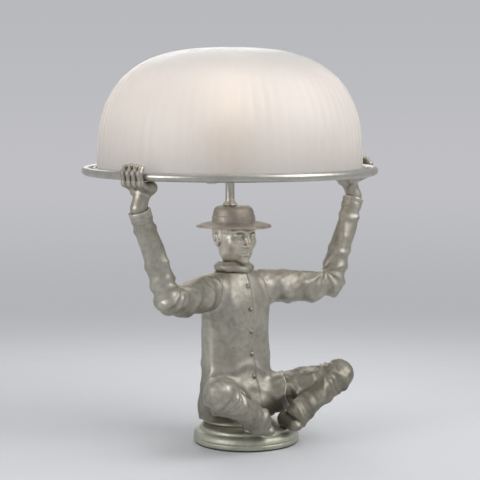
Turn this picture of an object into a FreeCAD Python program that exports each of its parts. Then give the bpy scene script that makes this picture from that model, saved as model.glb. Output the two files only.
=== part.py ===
import FreeCAD, Part
import math
import os

# Table lamp: a seated figure in hat and tunic holds up a ring that carries a glass dome.
# Origin on the floor under the lamp pipe, +Z up, the figure looks along -Y. Millimetres.

# Driving dimensions
TOTAL_HEIGHT = 387.0
BASE_RADIUS = 52.0
BASE_HEIGHT = 17.0
BASE_OFFSET = 26.0        # how far the foot's centre lies in front of the pipe
FELT = 1.5
SEAT_HEIGHT = 5.0
SEAT_RADIUS = 33.0
RING_LEVEL = 267.0        # middle of the ring's bead
RING_BEAD_RADIUS = 142.0
RING_BEAD = 4.0
GLASS_RADIUS = 131.0
GLASS_WALL = 3.0
GLASS_POWER = 2.8         # squareness of the dome's profile
PIPE_RADIUS = 4.0
PIPE_BORE = 2.7
CASTING_WALL = 4.0
HAT_BRIM = 37.5
HAT_SEAT = 214.0
HAT_TOP = 232.0
BULB_RADIUS = 25.0
SCREW_SHELL_RADIUS = 13.6
SOCKET_RADIUS = 17.0
SOCKET_HEIGHT = 32.0
SHEET = 0.5               # wall of the socket's shell
LINER = 0.7
KNOB_RADIUS = 5.0
SCREW_RADIUS = 1.5
SCREW_HEAD = 2.6
HEAD_DEPTH = 1.4
LEAD_RADIUS = 1.1
INLET_LEVEL = 8.0
INLET_RADIUS = 3.6
INLET_BORE = 2.6

# Joints of the figure's left side; the right side mirrors them
SHOULDER = (33.0, -8.0, 154.0)
ELBOW = (101.0, -37.0, 150.0)
SLEEVE_IN = (38.0, -11.0, 146.0)   # slack of the sleeve under the upper arm
SLEEVE_OUT = (82.0, -28.0, 144.0)
WRIST = (131.0, -36.0, 232.0)
HAND = (130.0, -34.5)
HIP = (20.0, -16.0, 41.0)
KNEE = (75.5, -81.0, 66.0)
LAP = (31.0, -48.0, 45.0)      # slack cloth between thigh and shank
LAP_OUT = (70.0, -76.0, 62.0)
ANKLE = (24.0, -76.0, 31.0)
HEEL = (22.0, -60.0, 24.5)
TOE = (17.0, -81.0, 23.5)

UP = FreeCAD.Vector(0, 0, 1)
INSET = 0.985             # how far the runs of a limb stay inside its balls
parts = {}


def vec(x, y, z):
    return FreeCAD.Vector(x, y, z)


def disc(radius, low, high, x=0.0, y=0.0):
    return Part.makeCylinder(radius, high - low, vec(x, y, low), UP)


def washer(outer, inner, low, high, x=0.0, y=0.0):
    return disc(outer, low, high, x, y).cut(disc(inner, low - 1, high + 1, x, y))


def rod(start, end, radius):
    a = vec(*start)
    b = vec(*end)
    return Part.makeCylinder(radius, (b - a).Length, a, b - a)


def hexagon(across, low, high, x=0.0, y=0.0):
    corners = []
    for i in range(7):
        turn = math.radians(60 * i + 30)
        reach = across / math.sqrt(3)
        corners.append(vec(x + reach * math.cos(turn), y + reach * math.sin(turn), low))
    return Part.Face(Part.makePolygon(corners)).extrude(vec(0, 0, high - low))


def turned(outline, x=0.0, y=0.0):
    points = [vec(x + r, y, z) for r, z in outline]
    points.append(points[0])
    return Part.Face(Part.makePolygon(points)).revolve(vec(x, y, 0), UP, 360)


def oval(x, y, z, half_x, half_y):
    # closed smooth curve through eight points of the ellipse
    points = []
    for i in range(8):
        turn = math.radians(45 * i)
        points.append(vec(x + half_x * math.cos(turn), y + half_y * math.sin(turn), z))
    curve = Part.BSplineCurve()
    curve.interpolate(points, PeriodicFlag=True)
    return Part.Wire(curve.toShape())


def oval_loft(stations):
    return Part.makeLoft([oval(*s) for s in stations], True, False)


def ellipsoid(centre, halves, tilt=0.0):
    ball = Part.makeSphere(1.0)
    shape = FreeCAD.Matrix()
    shape.scale(*halves)
    ball = ball.transformGeometry(shape)
    ball.rotate(vec(0, 0, 0), vec(1, 0, 0), tilt)
    ball.translate(vec(*centre))
    return ball


def limb_pieces(points, radii):
    # balls at the points and tapered runs between them, which end just inside the balls
    pieces = [Part.makeSphere(r, vec(*p)) for p, r in zip(points, radii)]
    for i in range(len(points) - 1):
        a = vec(*points[i])
        b = vec(*points[i + 1])
        near = INSET * radii[i]
        far = INSET * radii[i + 1]
        if abs(near - far) < 0.01:
            pieces.append(Part.makeCylinder(near, (b - a).Length, a, b - a))
        else:
            pieces.append(Part.makeCone(near, far, (b - a).Length, a, b - a))
    return pieces


def joined(pieces):
    return pieces[0].multiFuse(pieces[1:])


def limb(points, radii):
    return joined(limb_pieces(points, radii))


def mirror_image(shape):
    return shape.mirror(vec(0, 0, 0), vec(1, 0, 0))


def group(shapes):
    return Part.makeCompound(shapes)


# Foot: turned profile with a rounded step, hollow from below
base_top = BASE_HEIGHT
base_roof = base_top - 3.5
R = BASE_RADIUS
COVER_THICK = 1.0
COVER_SCREW = 1.3
base_outline = [(0, base_top), (R - 8, base_top), (R - 6.5, base_top - 1), (R - 6, base_top - 3),
                (R - 3, base_top - 4.5), (R - 0.8, base_top - 6.5), (R, base_top - 8), (R, FELT), (0, FELT)]
base = turned(base_outline, 0, -BASE_OFFSET)
base = base.cut(disc(R - 9, FELT - 1, base_roof, 0, -BASE_OFFSET))
cover_recess = disc(R - 6, FELT - 1, FELT + COVER_THICK, 0, -BASE_OFFSET)
base = base.cut(cover_recess)

COVER_SCREW_CIRCLE = R - 11.5
cover_places = []
for i in range(3):
    turn = math.radians(30 + 120 * i)
    x = COVER_SCREW_CIRCLE * math.cos(turn)
    cover_places.append((x, -BASE_OFFSET + COVER_SCREW_CIRCLE * math.sin(turn)))
for x, y in cover_places:
    base = base.fuse(disc(4.0, FELT + COVER_THICK, base_roof + 0.5, x, y))
FOOT_PLACES = [(20.0, -58.0), (-20.0, -58.0)]
FOOT_SCREW = 2.0
cover = disc(R - 6.3, FELT, FELT + COVER_THICK, 0, -BASE_OFFSET)
cover_screws = []
for x, y in cover_places:
    base = base.cut(disc(COVER_SCREW, FELT, base_roof - 1, x, y))
    cover = cover.cut(disc(COVER_SCREW + 0.3, 0, FELT + 2, x, y))
    cover = cover.cut(disc(SCREW_HEAD + 0.1, 0, FELT + 0.6, x, y))
    shank = disc(COVER_SCREW, FELT + 0.6, FELT + 5.0, x, y)
    cover_screws.append(disc(SCREW_HEAD, FELT, FELT + 0.6, x, y).fuse(shank))
base = base.cut(disc(PIPE_RADIUS + 0.1, 0, base_top + 1))
for x, y in FOOT_PLACES:
    base = base.cut(disc(FOOT_SCREW, 0, base_top + 1, x, y))

# Supply lead inlet at the back of the foot
back = -BASE_OFFSET + R
inlet_hole = rod((0, back - 14, INLET_LEVEL), (0, back + 3, INLET_LEVEL), INLET_RADIUS)
base = base.cut(inlet_hole)
flat_seat = Part.makeBox(12, 8, 9.0, vec(-6, back - 1.6, INLET_LEVEL - 4.5))
base = base.cut(flat_seat)
bush = rod((0, back - 12.5, INLET_LEVEL), (0, back - 1.6, INLET_LEVEL), INLET_RADIUS)
bush = bush.fuse(rod((0, back - 1.6, INLET_LEVEL), (0, back - 0.3, INLET_LEVEL), 4.3))
bush = bush.cut(rod((0, back - 14, INLET_LEVEL), (0, back + 2, INLET_LEVEL), INLET_BORE))
nut_plan = hexagon(9.4, 0, 1.9)
nut_plan.rotate(vec(0, 0, 0), UP, 30)
nut_plan.rotate(vec(0, 0, 0), vec(1, 0, 0), -90)
nut_plan.translate(vec(0, back - 11.2, INLET_LEVEL))
inlet_nut = nut_plan.cut(rod((0, back - 14, INLET_LEVEL), (0, back, INLET_LEVEL), INLET_RADIUS))

# Ballast: a thick half ring that leaves room for the pipe nut, the block and the screws
ballast = washer(R - 17, 20, FELT + 1.6, base_roof - 0.3, 0, -BASE_OFFSET)
ballast = ballast.cut(Part.makeBox(40, 60, 20, vec(-20, -24, 0)))
for x, y in FOOT_PLACES:
    ballast = ballast.cut(disc(5.0, 0, base_top, x, y))

parts["felt_pad"] = disc(R - 1.0, 0, FELT, 0, -BASE_OFFSET)
parts["base_cover"] = cover
parts["cover_screws"] = group(cover_screws)
parts["inlet_bush"] = bush
parts["inlet_nut"] = inlet_nut
parts["ballast_weight"] = ballast

# Terminal block under the foot's roof
BLOCK_Y = -28.0
BLOCK_SIZE = (18.0, 10.0, 6.4)
BLOCK_PITCH = 5.0
wire_level = base_roof - 3.9
block_corner = vec(-BLOCK_SIZE[0] / 2, BLOCK_Y - BLOCK_SIZE[1] / 2, base_roof - BLOCK_SIZE[2])
block = Part.makeBox(*BLOCK_SIZE, block_corner)
terminal_screws = []
for x in (-BLOCK_PITCH, 0.0, BLOCK_PITCH):
    block = block.cut(disc(SCREW_RADIUS, 0, base_roof - 1.6, x, BLOCK_Y))
    block = block.cut(rod((x, BLOCK_Y - 6, wire_level), (x, BLOCK_Y + 6, wire_level), LEAD_RADIUS + 0.1))
    terminal_screws.append(disc(1.45, base_roof - 4.9, base_roof - 3.0, x, BLOCK_Y))
parts["terminal_block"] = block
EARTH_PLACE = (12.0, -14.0)
earth_shank = disc(SCREW_RADIUS, base_roof - 2, base_top - 1.2, *EARTH_PLACE)
earth = disc(SCREW_HEAD, base_roof - 3.5, base_roof - 1.8, *EARTH_PLACE).fuse(earth_shank)
base = base.cut(earth_shank)
parts["earth_screw"] = earth
parts["base_casting"] = base

# Seat: low round block that the figure sits on
seat_top = base_top + SEAT_HEIGHT
S = SEAT_RADIUS
SEAT_Y = -10.0
seat_outline = [(0, base_top), (S - 1.5, base_top), (S, base_top + 1.5), (S - 0.8, base_top + 4),
                (S, seat_top - 1.5), (S - 1.5, seat_top), (0, seat_top)]
seat = turned(seat_outline, 0, SEAT_Y).cut(disc(S - 6, base_top - 1, seat_top - 3, 0, SEAT_Y))
parts["seat_block"] = seat.cut(disc(PIPE_RADIUS + 0.1, 0, seat_top + 1))

# Torso in a straight tunic that spreads over the lap
tunic = [(0, -11, seat_top, 40, 31), (0, -12, 36, 42, 34), (0, -12, 52, 40, 30), (0, -10, 70, 38.5, 26),
         (0, -9, 98, 38, 24), (0, -9, 125, 38.5, 23.5), (0, -8, 147, 38, 21), (0, -7, 160, 32, 17),
         (0, -6, 169, 19, 14)]
torso_outer = oval_loft(tunic)
hollow = [(x, y, max(z, seat_top) - (1 if z == seat_top else 0), a - CASTING_WALL, b - CASTING_WALL)
          for x, y, z, a, b in tunic[:7]]
torso_cavity = oval_loft(hollow)

# Head: skull, jaw, nose, ears and neck, cut flat where the hat sits
HEAD_Y = -6.0
skull = ellipsoid((0, HEAD_Y, 206), (19.0, 22.5, 26))
jaw = ellipsoid((0, HEAD_Y - 7.5, 189.5), (13.5, 13.5, 14.5))
nose = ellipsoid((0, HEAD_Y - 22.5, 197), (3.0, 4.2, 7.0), -14)
ears = [ellipsoid((side * 18.8, HEAD_Y + 1, 199), (2.2, 4.2, 6.8), 8) for side in (1, -1)]
neck = limb_pieces([(0, HEAD_Y, 163), (0, HEAD_Y, 189)], [12.5, 11.5])
head = joined([skull, jaw, nose] + neck + ears)
head = head.cut(Part.makeBox(80, 80, 40, vec(-40, -40, HAT_SEAT)))
NECK_SEAT = 167.0
head = head.cut(Part.makeBox(80, 80, 60, vec(-40, -40, NECK_SEAT - 60)))
torso_outer = torso_outer.cut(Part.makeBox(80, 80, 40, vec(-40, -40, NECK_SEAT)))
pipe_bore = disc(PIPE_RADIUS + 0.1, 0, HAT_TOP + 20)
torso = torso_outer.cut(torso_cavity).cut(pipe_bore)
parts["head_casting"] = head.cut(pipe_bore)

# Rolled collar round the neck
COLLAR_Y = -6.0
COLLAR_LEVEL = NECK_SEAT + 4.6
collar = Part.makeTorus(16.0, 5.0, vec(0, COLLAR_Y, COLLAR_LEVEL))
collar = collar.fuse(washer(16, 10, NECK_SEAT, COLLAR_LEVEL, 0, COLLAR_Y))
collar = collar.cut(Part.makeBox(80, 80, 20, vec(-40, -40, NECK_SEAT - 20)))
collar = collar.cut(head)
parts["collar"] = collar

# Hat: shallow crown with a band and a thin brim that dips at its edge
B = HAT_BRIM
HAT_Y = -6.0
hat_outline = [(0, HAT_SEAT), (20, HAT_SEAT), (30, HAT_SEAT - 0.6), (B - 1, HAT_SEAT - 2.4),
               (B, HAT_SEAT - 1.4), (B - 1, HAT_SEAT - 0.2), (30, HAT_SEAT + 1.5), (22, HAT_SEAT + 2.2),
               (21, HAT_SEAT + 4), (20.4, HAT_SEAT + 9), (19.4, HAT_SEAT + 13), (17.4, HAT_TOP - 2.0),
               (14.5, HAT_TOP), (0, HAT_TOP)]
hat = turned(hat_outline, 0, HAT_Y)
hat_room = [(0, HAT_SEAT - 1), (16, HAT_SEAT - 1), (16, HAT_SEAT + 9), (13, HAT_TOP - 4), (0, HAT_TOP - 4)]
hat_cavity = turned(hat_room, 0, HAT_Y)
parts["hat_casting"] = hat.cut(hat_cavity).cut(pipe_bore)

# Ring with a rolled bead, a flat ledge and an upstand that centres the glass
ring_bottom = RING_LEVEL - RING_BEAD
ledge_top = ring_bottom + 3.0
RING_BORE = 122.0
ledge = washer(RING_BEAD_RADIUS, RING_BORE, ring_bottom, ledge_top)
bead = Part.makeTorus(RING_BEAD_RADIUS, RING_BEAD, vec(0, 0, RING_LEVEL))
upstand = washer(135.0, 132.6, ledge_top - 1, RING_LEVEL + 3.5)
ring = ledge.fuse(bead).fuse(upstand)

HAND_TURN = math.atan2(HAND[1], HAND[0])


def around(radius, along, z, side):
    # a point given by its reach from the pipe and its offset along the ring at the hand
    x = radius * math.cos(HAND_TURN) - along * math.sin(HAND_TURN)
    y = radius * math.sin(HAND_TURN) + along * math.cos(HAND_TURN)
    return (x * side, y, z)


# Ring screws: two into the palms and one into each spider arm
SPIDER_TURNS = (90.0, 225.0, 315.0)
SPIDER_REACH = 129.0
SPIDER_SCREWS = 125.5
PALM_SCREWS = 139.0
ring_screw_places = [around(PALM_SCREWS, 0, 0, side) for side in (1.0, -1.0)]
for turn in SPIDER_TURNS:
    angle = math.radians(turn)
    ring_screw_places.append((SPIDER_SCREWS * math.cos(angle), SPIDER_SCREWS * math.sin(angle), 0))
SCREW_LENGTH = 9.0
ring_screws = []
for place in ring_screw_places:
    x, y = place[0], place[1]
    sink = Part.makeCone(SCREW_RADIUS, SCREW_HEAD, HEAD_DEPTH, vec(x, y, ledge_top - HEAD_DEPTH), UP)
    length = SCREW_LENGTH if math.hypot(x, y) > 130 else 5.0
    ring = ring.cut(sink).cut(disc(SCREW_RADIUS, ring_bottom - 1, ledge_top, x, y))
    ring_screws.append(sink.fuse(disc(SCREW_RADIUS, ledge_top - length, ledge_top - HEAD_DEPTH, x, y)))
parts["shade_ring"] = ring
parts["ring_screws"] = group(ring_screws)
parts["ring_gasket"] = washer(131.6, 127.6, ledge_top, ledge_top + 1.4)

# Spider: hub on the pipe and three flat arms under the ledge
SPIDER_THICK = 2.0
SPIDER_WIDTH = 9.0
spider = disc(11, ring_bottom - SPIDER_THICK, ring_bottom)
for turn in SPIDER_TURNS:
    corner = vec(0, -SPIDER_WIDTH / 2, ring_bottom - SPIDER_THICK)
    arm = Part.makeBox(SPIDER_REACH, SPIDER_WIDTH, SPIDER_THICK, corner)
    arm.rotate(vec(0, 0, 0), UP, turn)
    spider = spider.fuse(arm)
spider = spider.cut(disc(PIPE_RADIUS, 0, TOTAL_HEIGHT))
for place in ring_screw_places[2:]:
    spider = spider.cut(disc(SCREW_RADIUS, 0, TOTAL_HEIGHT, place[0], place[1]))
parts["ring_spider"] = spider
spider_nut = hexagon(15, ring_bottom, ring_bottom + 3.5).cut(disc(PIPE_RADIUS, 0, TOTAL_HEIGHT))
parts["spider_nut"] = spider_nut

# Arms: upper arm, forearm and a bent-back hand whose fingers close over the ring's bead
FINGER = 3.1
FINGER_GAP = 6.5
under_ring = washer(RING_BEAD_RADIUS, RING_BORE - 20, ring_bottom, RING_LEVEL + 20)
bead_room = Part.makeTorus(RING_BEAD_RADIUS, RING_BEAD + 0.1, vec(0, 0, RING_LEVEL))
arm_pieces = limb_pieces([SHOULDER, ELBOW, WRIST], [13.0, 12.5, 9.6])
arm_pieces += limb_pieces([SLEEVE_IN, SLEEVE_OUT], [15.0, 13.0])
palm_level = ring_bottom - 7.0
arm_pieces += limb_pieces([WRIST, around(133.0, 0, palm_level - 3, 1)], [9.0, 9.5])
for along in (-9.0, 5.5):
    heel_of_hand = around(129.0, along, palm_level + 0.5, 1)
    knuckles = around(141.0, along * 1.25, palm_level + 1.5, 1)
    arm_pieces += limb_pieces([heel_of_hand, knuckles], [6.9, 5.1])
for i in range(4):
    along = FINGER_GAP * (i - 1.5) - 2.5
    tip = RING_LEVEL + 10.0 - 0.8 * abs(i - 1.5)
    path = [around(141.0, along, palm_level + 1.5, 1), around(147.6, along, palm_level + 4.5, 1),
            around(149.6, along, RING_LEVEL + 3.0, 1), around(145.6, along, tip, 1)]
    arm_pieces += limb_pieces(path, [FINGER + 0.5, FINGER + 0.3, FINGER, FINGER - 0.5])
thumb = [around(130.0, 11.0, palm_level - 3, 1), around(127.0, 17.5, palm_level + 2.5, 1),
         around(125.5, 22.0, palm_level + 3.6, 1)]
arm_pieces += limb_pieces(thumb, [4.6, 3.9, 3.2])
left_arm = joined(arm_pieces).cut(under_ring).cut(bead_room).cut(torso_outer)

# Legs: thigh, shank and shoe, knees raised and apart, feet close together on the foot plate
leg_pieces = limb_pieces([HIP, KNEE, ANKLE], [18.0, 12.5, 13.0]) + limb_pieces([LAP, LAP_OUT], [14.5, 11.2])
leg_pieces += limb_pieces([HEEL, TOE], [8.0, 7.0])
left_leg = joined(leg_pieces).cut(Part.makeBox(300, 300, 40, vec(-150, -150, base_top - 40)))
left_leg = left_leg.cut(seat).cut(torso_outer)

# Hidden studs between the castings
STUD_RADIUS = 2.5
shoulder_stud = rod((24.0, -6.0, 154.0), (52.0, -15.7, 152.8), STUD_RADIUS)
hip_stud = rod((24.0, -20.7, 42.8), (48.0, -48.8, 53.6), STUD_RADIUS)
palm_screw = ring_screw_places[0]
palm_hole = disc(SCREW_RADIUS, ledge_top - SCREW_LENGTH, ring_bottom + 1, palm_screw[0], palm_screw[1])
left_arm = left_arm.cut(shoulder_stud).cut(palm_hole)
foot_screws = []
for x, y in FOOT_PLACES:
    shank = disc(FOOT_SCREW, base_roof, base_top + 4.5, x, y)
    foot_screws.append(disc(4.0, base_roof - 2.4, base_roof, x, y).fuse(shank))
    left_leg = left_leg.cut(shank)
left_leg = left_leg.cut(hip_stud)
for stud in (shoulder_stud, hip_stud):
    torso = torso.cut(stud).cut(mirror_image(stud))
parts["left_arm"] = left_arm
parts["right_arm"] = mirror_image(left_arm).cut(torso_outer)
parts["left_leg"] = left_leg
parts["right_leg"] = mirror_image(left_leg).cut(torso_outer)
parts["torso_casting"] = torso
parts["shoulder_studs"] = group([shoulder_stud, mirror_image(shoulder_stud)])
parts["hip_studs"] = group([hip_stud, mirror_image(hip_stud)])
parts["foot_screws"] = group(foot_screws)

# Column: pipe, clamp below, turned nut on the hat, cover tube
PIPE_TOP = RING_LEVEL + 9.5
PIPE_LOW = 6.0
parts["lamp_pipe"] = washer(PIPE_RADIUS, PIPE_BORE, PIPE_LOW, PIPE_TOP)
parts["pipe_washer"] = washer(8.0, PIPE_RADIUS, base_roof - 1.0, base_roof)
parts["pipe_nut"] = hexagon(13, base_roof - 4.2, base_roof - 1.0).cut(disc(PIPE_RADIUS, 0, 20))
nut_outline = [(0, HAT_TOP), (7.0, HAT_TOP), (7.5, HAT_TOP + 0.8), (7.0, HAT_TOP + 1.6),
               (5.6, HAT_TOP + 3.4), (5.4, HAT_TOP + 4), (0, HAT_TOP + 4)]
hat_nut = turned(nut_outline)
parts["hat_nut"] = hat_nut.cut(disc(PIPE_RADIUS, 0, HAT_TOP + 9))
sleeve_low = HAT_TOP + 4
parts["stem_sleeve"] = washer(PIPE_RADIUS + 0.7, PIPE_RADIUS, sleeve_low, ring_bottom - SPIDER_THICK)

# Socket: cap on the pipe, shell, liner, core, screw shell, contact and terminals
CAP_LOW = ring_bottom + 3.5
SHELL_LOW = CAP_LOW + 14.0
SHELL_TOP = SHELL_LOW + SOCKET_HEIGHT
cap_outline = [(0, CAP_LOW), (7.5, CAP_LOW), (8.0, CAP_LOW + 5), (13.0, CAP_LOW + 7), (16.5, CAP_LOW + 10.5),
               (17.6, SHELL_LOW), (17.6, SHELL_LOW + 3), (0, SHELL_LOW + 3)]
cap = turned(cap_outline).cut(disc(SOCKET_RADIUS, SHELL_LOW, SHELL_LOW + 4))
cap_room = turned([(0, CAP_LOW + 7), (11.5, CAP_LOW + 8.5), (15.0, CAP_LOW + 11.5), (16.0, SHELL_LOW + 0.1),
                   (0, SHELL_LOW + 0.1)])
cap = cap.cut(cap_room).cut(disc(PIPE_RADIUS, 0, CAP_LOW + 10))
screw_level = CAP_LOW + 2.8
parts["socket_cap"] = cap.cut(rod((1, 0, screw_level), (12, 0, screw_level), 1.4))
parts["cap_screw"] = rod((PIPE_RADIUS, 0, screw_level), (PIPE_RADIUS + 5.5, 0, screw_level), 1.4)
shell = washer(SOCKET_RADIUS, SOCKET_RADIUS - SHEET, SHELL_LOW, SHELL_TOP)
shell_bead = washer(SOCKET_RADIUS + 0.8, SOCKET_RADIUS - SHEET, SHELL_TOP - 2.0, SHELL_TOP)
liner = washer(SOCKET_RADIUS - SHEET, SOCKET_RADIUS - SHEET - LINER, SHELL_LOW, SHELL_TOP - 0.6)
KNOB_LEVEL = SHELL_LOW + 5.0
shaft_hole = rod((0, 6, KNOB_LEVEL), (0, 40, KNOB_LEVEL), 2.3)
parts["socket_shell"] = shell.fuse(shell_bead).cut(shaft_hole)
parts["socket_liner"] = liner.cut(shaft_hole)
CORE_TOP = SHELL_LOW + 9.0
core = disc(SOCKET_RADIUS - SHEET - LINER, SHELL_LOW, CORE_TOP)
core = core.cut(rod((0, 7, KNOB_LEVEL), (0, 40, KNOB_LEVEL), 1.55))
core = core.cut(disc(2.2, CORE_TOP - 1.2, CORE_TOP + 1))
wire_screws = []
for x in (-9.0, 9.0):
    for_wire = disc(1.4, SHELL_LOW - 1, SHELL_LOW + 3.0, x, 0)
    core = core.cut(for_wire)
    core = core.cut(rod((x, -SOCKET_RADIUS, SHELL_LOW + 4.5), (x, -9, SHELL_LOW + 4.5), 2.4))
    wire_screws.append(rod((x, -10.6, SHELL_LOW + 4.5), (x, -9, SHELL_LOW + 4.5), 2.2))
parts["socket_core"] = core
parts["wire_screws"] = group(wire_screws)
parts["screw_shell"] = washer(SCREW_SHELL_RADIUS + 0.5, SCREW_SHELL_RADIUS, CORE_TOP, SHELL_TOP - 4)
contact_base = disc(2.2, CORE_TOP - 1.2, CORE_TOP)
contact_tongue = Part.makeBox(9, 4, 0.6, vec(-5.5, -2, CORE_TOP))
parts["contact_spring"] = contact_base.fuse(contact_tongue)

# Switch on the back of the socket
shaft = rod((0, 9, KNOB_LEVEL), (0, 25, KNOB_LEVEL), SCREW_RADIUS)
parts["switch_shaft"] = shaft
knob = rod((0, 20, KNOB_LEVEL), (0, 30, KNOB_LEVEL), KNOB_RADIUS)
knob = knob.fuse(rod((0, 18.6, KNOB_LEVEL), (0, 20, KNOB_LEVEL), 3.4))
for i in range(12):
    turn = math.radians(30 * i)
    x = (KNOB_RADIUS + 0.3) * math.cos(turn)
    z = KNOB_LEVEL + (KNOB_RADIUS + 0.3) * math.sin(turn)
    knob = knob.cut(rod((x, 21, z), (x, 31, z), 0.8))
parts["switch_knob"] = knob.cut(shaft)

# Bulb: pear globe on a screw cap
bulb_low = CORE_TOP + 0.8
CAP_RADIUS = SCREW_SHELL_RADIUS - 0.1
cap_top = bulb_low + 24.0
globe_mid = cap_top + 25.0
parts["bulb_contact"] = disc(3.5, bulb_low, bulb_low + 1.0)
insulator_outline = [(0, bulb_low + 1), (4.5, bulb_low + 1), (9.5, bulb_low + 4), (0, bulb_low + 4)]
parts["bulb_insulator"] = turned(insulator_outline)
bulb_shell = turned([(9.5, bulb_low + 4), (CAP_RADIUS, bulb_low + 6), (CAP_RADIUS, cap_top),
                     (CAP_RADIUS - 0.6, cap_top), (CAP_RADIUS - 0.6, bulb_low + 6.3), (8.5, bulb_low + 4)])
parts["bulb_cap"] = bulb_shell
waist = CAP_RADIUS - 0.6
globe = Part.makeSphere(BULB_RADIUS, vec(0, 0, globe_mid))
throat = turned([(0, cap_top - 12), (waist, cap_top - 12), (waist, cap_top), (waist + 2.0, cap_top + 4),
                 (20.5, globe_mid - 13.5), (0, globe_mid)])
globe_inner = Part.makeSphere(BULB_RADIUS - 0.8, vec(0, 0, globe_mid))
throat_inner = turned([(0, cap_top - 11), (waist - 0.8, cap_top - 11), (waist - 0.8, cap_top),
                       (waist + 1.2, cap_top + 4.4), (19.5, globe_mid - 13.2), (0, globe_mid)])
parts["bulb_globe"] = globe.fuse(throat).cut(globe_inner.fuse(throat_inner))
mount = turned([(0, cap_top - 11), (6, cap_top - 11), (4, cap_top - 4), (2.2, cap_top + 14),
                (0, cap_top + 15)])
filaments = []
for i in range(4):
    turn = math.radians(45 + 90 * i)
    low = (2.0 * math.cos(turn), 2.0 * math.sin(turn), cap_top + 8)
    high = (9.0 * math.cos(turn), 9.0 * math.sin(turn), globe_mid + 8)
    filaments.append(limb([low, high], [0.9, 0.9]))
for strip in filaments:
    mount = mount.fuse(strip)
parts["filament_mount"] = mount

# Inner leads from the terminal block through the pipe to the socket core
LEAD_X = 1.4              # each lead's place inside the pipe
LEAD_LOW = 4.2            # level of the leads under the pipe
lead_top = PIPE_TOP + 1.6
for name, side in (("lead_live", -1.0), ("lead_neutral", 1.0)):
    path = [(BLOCK_PITCH * side, BLOCK_Y + 4.0, wire_level), (BLOCK_PITCH * side, -14.0, 6.5),
            (LEAD_X * side, -6.0, LEAD_LOW), (LEAD_X * side, 0, LEAD_LOW), (LEAD_X * side, 0, lead_top),
            (9.0 * side, 0, lead_top + 0.9), (9.0 * side, 0, SHELL_LOW + 2.0)]
    parts[name] = limb(path, [LEAD_RADIUS] * len(path))
parts["terminal_screws"] = group(terminal_screws)

# Dome glass: superellipse profile, open below
glass_low = ledge_top + 1.4
glass_height = TOTAL_HEIGHT - glass_low


def dome_profile(radius, height, count=14):
    # points of the superellipse, spaced evenly in its angle, from the rim to the top
    points = []
    for i in range(count + 1):
        turn = 0.5 * math.pi * i / count
        r = radius * math.cos(turn) ** (2.0 / GLASS_POWER)
        z = height * math.sin(turn) ** (2.0 / GLASS_POWER)
        points.append(vec(max(r, 0.0) if i < count else 0.0, 0, glass_low + z))
    return points


def dome_body(radius, height):
    points = dome_profile(radius, height)
    curve = Part.BSplineCurve()
    curve.interpolate(points, InitialTangent=UP, FinalTangent=vec(-1, 0, 0), Scale=True)
    floor = Part.LineSegment(vec(0, 0, glass_low), points[0])
    axis = Part.LineSegment(points[-1], vec(0, 0, glass_low))
    wire = Part.Wire([floor.toShape(), curve.toShape(), axis.toShape()])
    return Part.Face(wire).revolve(vec(0, 0, 0), UP, 360)


dome = dome_body(GLASS_RADIUS, glass_height)
room = dome_body(GLASS_RADIUS - GLASS_WALL, glass_height - GLASS_WALL)
parts["shade_glass"] = dome.cut(room)

os.makedirs("parts", exist_ok=True)
for name, shape in parts.items():
    shape.exportStep("parts/" + name + ".step")
    box = shape.BoundBox
    print("%-16s valid %s solids %d volume %9.0f  z %.1f..%.1f" %
          (name, shape.isValid(), len(shape.Solids), shape.Volume, box.ZMin, box.ZMax))
print("nodes", len(parts))
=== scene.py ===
import math

import bmesh
import bpy
import numpy as np
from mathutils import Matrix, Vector


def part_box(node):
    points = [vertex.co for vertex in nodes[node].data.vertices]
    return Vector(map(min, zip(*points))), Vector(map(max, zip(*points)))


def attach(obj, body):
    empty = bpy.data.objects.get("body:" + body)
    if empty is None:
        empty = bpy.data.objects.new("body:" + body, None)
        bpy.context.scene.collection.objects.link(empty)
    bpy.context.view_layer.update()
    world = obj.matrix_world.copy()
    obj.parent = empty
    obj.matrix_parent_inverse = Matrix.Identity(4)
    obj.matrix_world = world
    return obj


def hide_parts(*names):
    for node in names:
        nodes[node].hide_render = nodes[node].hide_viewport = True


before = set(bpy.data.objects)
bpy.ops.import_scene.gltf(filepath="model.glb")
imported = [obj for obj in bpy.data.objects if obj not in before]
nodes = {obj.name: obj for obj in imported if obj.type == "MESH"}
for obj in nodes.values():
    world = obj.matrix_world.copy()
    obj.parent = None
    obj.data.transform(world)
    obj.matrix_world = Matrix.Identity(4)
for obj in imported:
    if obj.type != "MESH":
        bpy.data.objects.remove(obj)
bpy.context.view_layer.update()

scene = bpy.context.scene
mm = 0.001
print("stage: frame loaded,", len(nodes), "nodes")


# Camera, light and floor

cameraSet = {"azimuth": -37.52, "distance": 1.434, "height": 0.3427, "focalPixels": 1451.2,
             "pitch": 5.787, "yaw": 0.396, "imagePixels": 480, "sensor": 36.0}


def makeCamera(s):
    turn = math.radians(s["azimuth"])
    data = bpy.data.cameras.new("lampCamera")
    data.sensor_width = s["sensor"]
    data.lens = s["focalPixels"] / s["imagePixels"] * s["sensor"]
    data.clip_start = 0.05
    data.clip_end = 20.0
    cam = bpy.data.objects.new("lampCamera", data)
    scene.collection.objects.link(cam)
    cam.location = (math.sin(turn) * s["distance"], -math.cos(turn) * s["distance"], s["height"])
    cam.rotation_euler = (math.radians(90.0 - s["pitch"]), 0.0, turn - math.radians(s["yaw"]))
    scene.camera = cam


lightSet = {
    "key": {"azimuth": 30.0, "elevation": 42.0, "reach": 1.7, "size": 1.2, "power": 15.5},
    "fill": {"azimuth": -92.0, "elevation": 18.0, "reach": 1.7, "size": 0.8, "power": 8.5},
    "top": {"azimuth": 150.0, "elevation": 78.0, "reach": 1.6, "size": 1.2, "power": 3.0},
    "back": {"azimuth": 150.0, "elevation": 30.0, "reach": 1.9, "size": 0.9, "power": 6.0},
}


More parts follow.
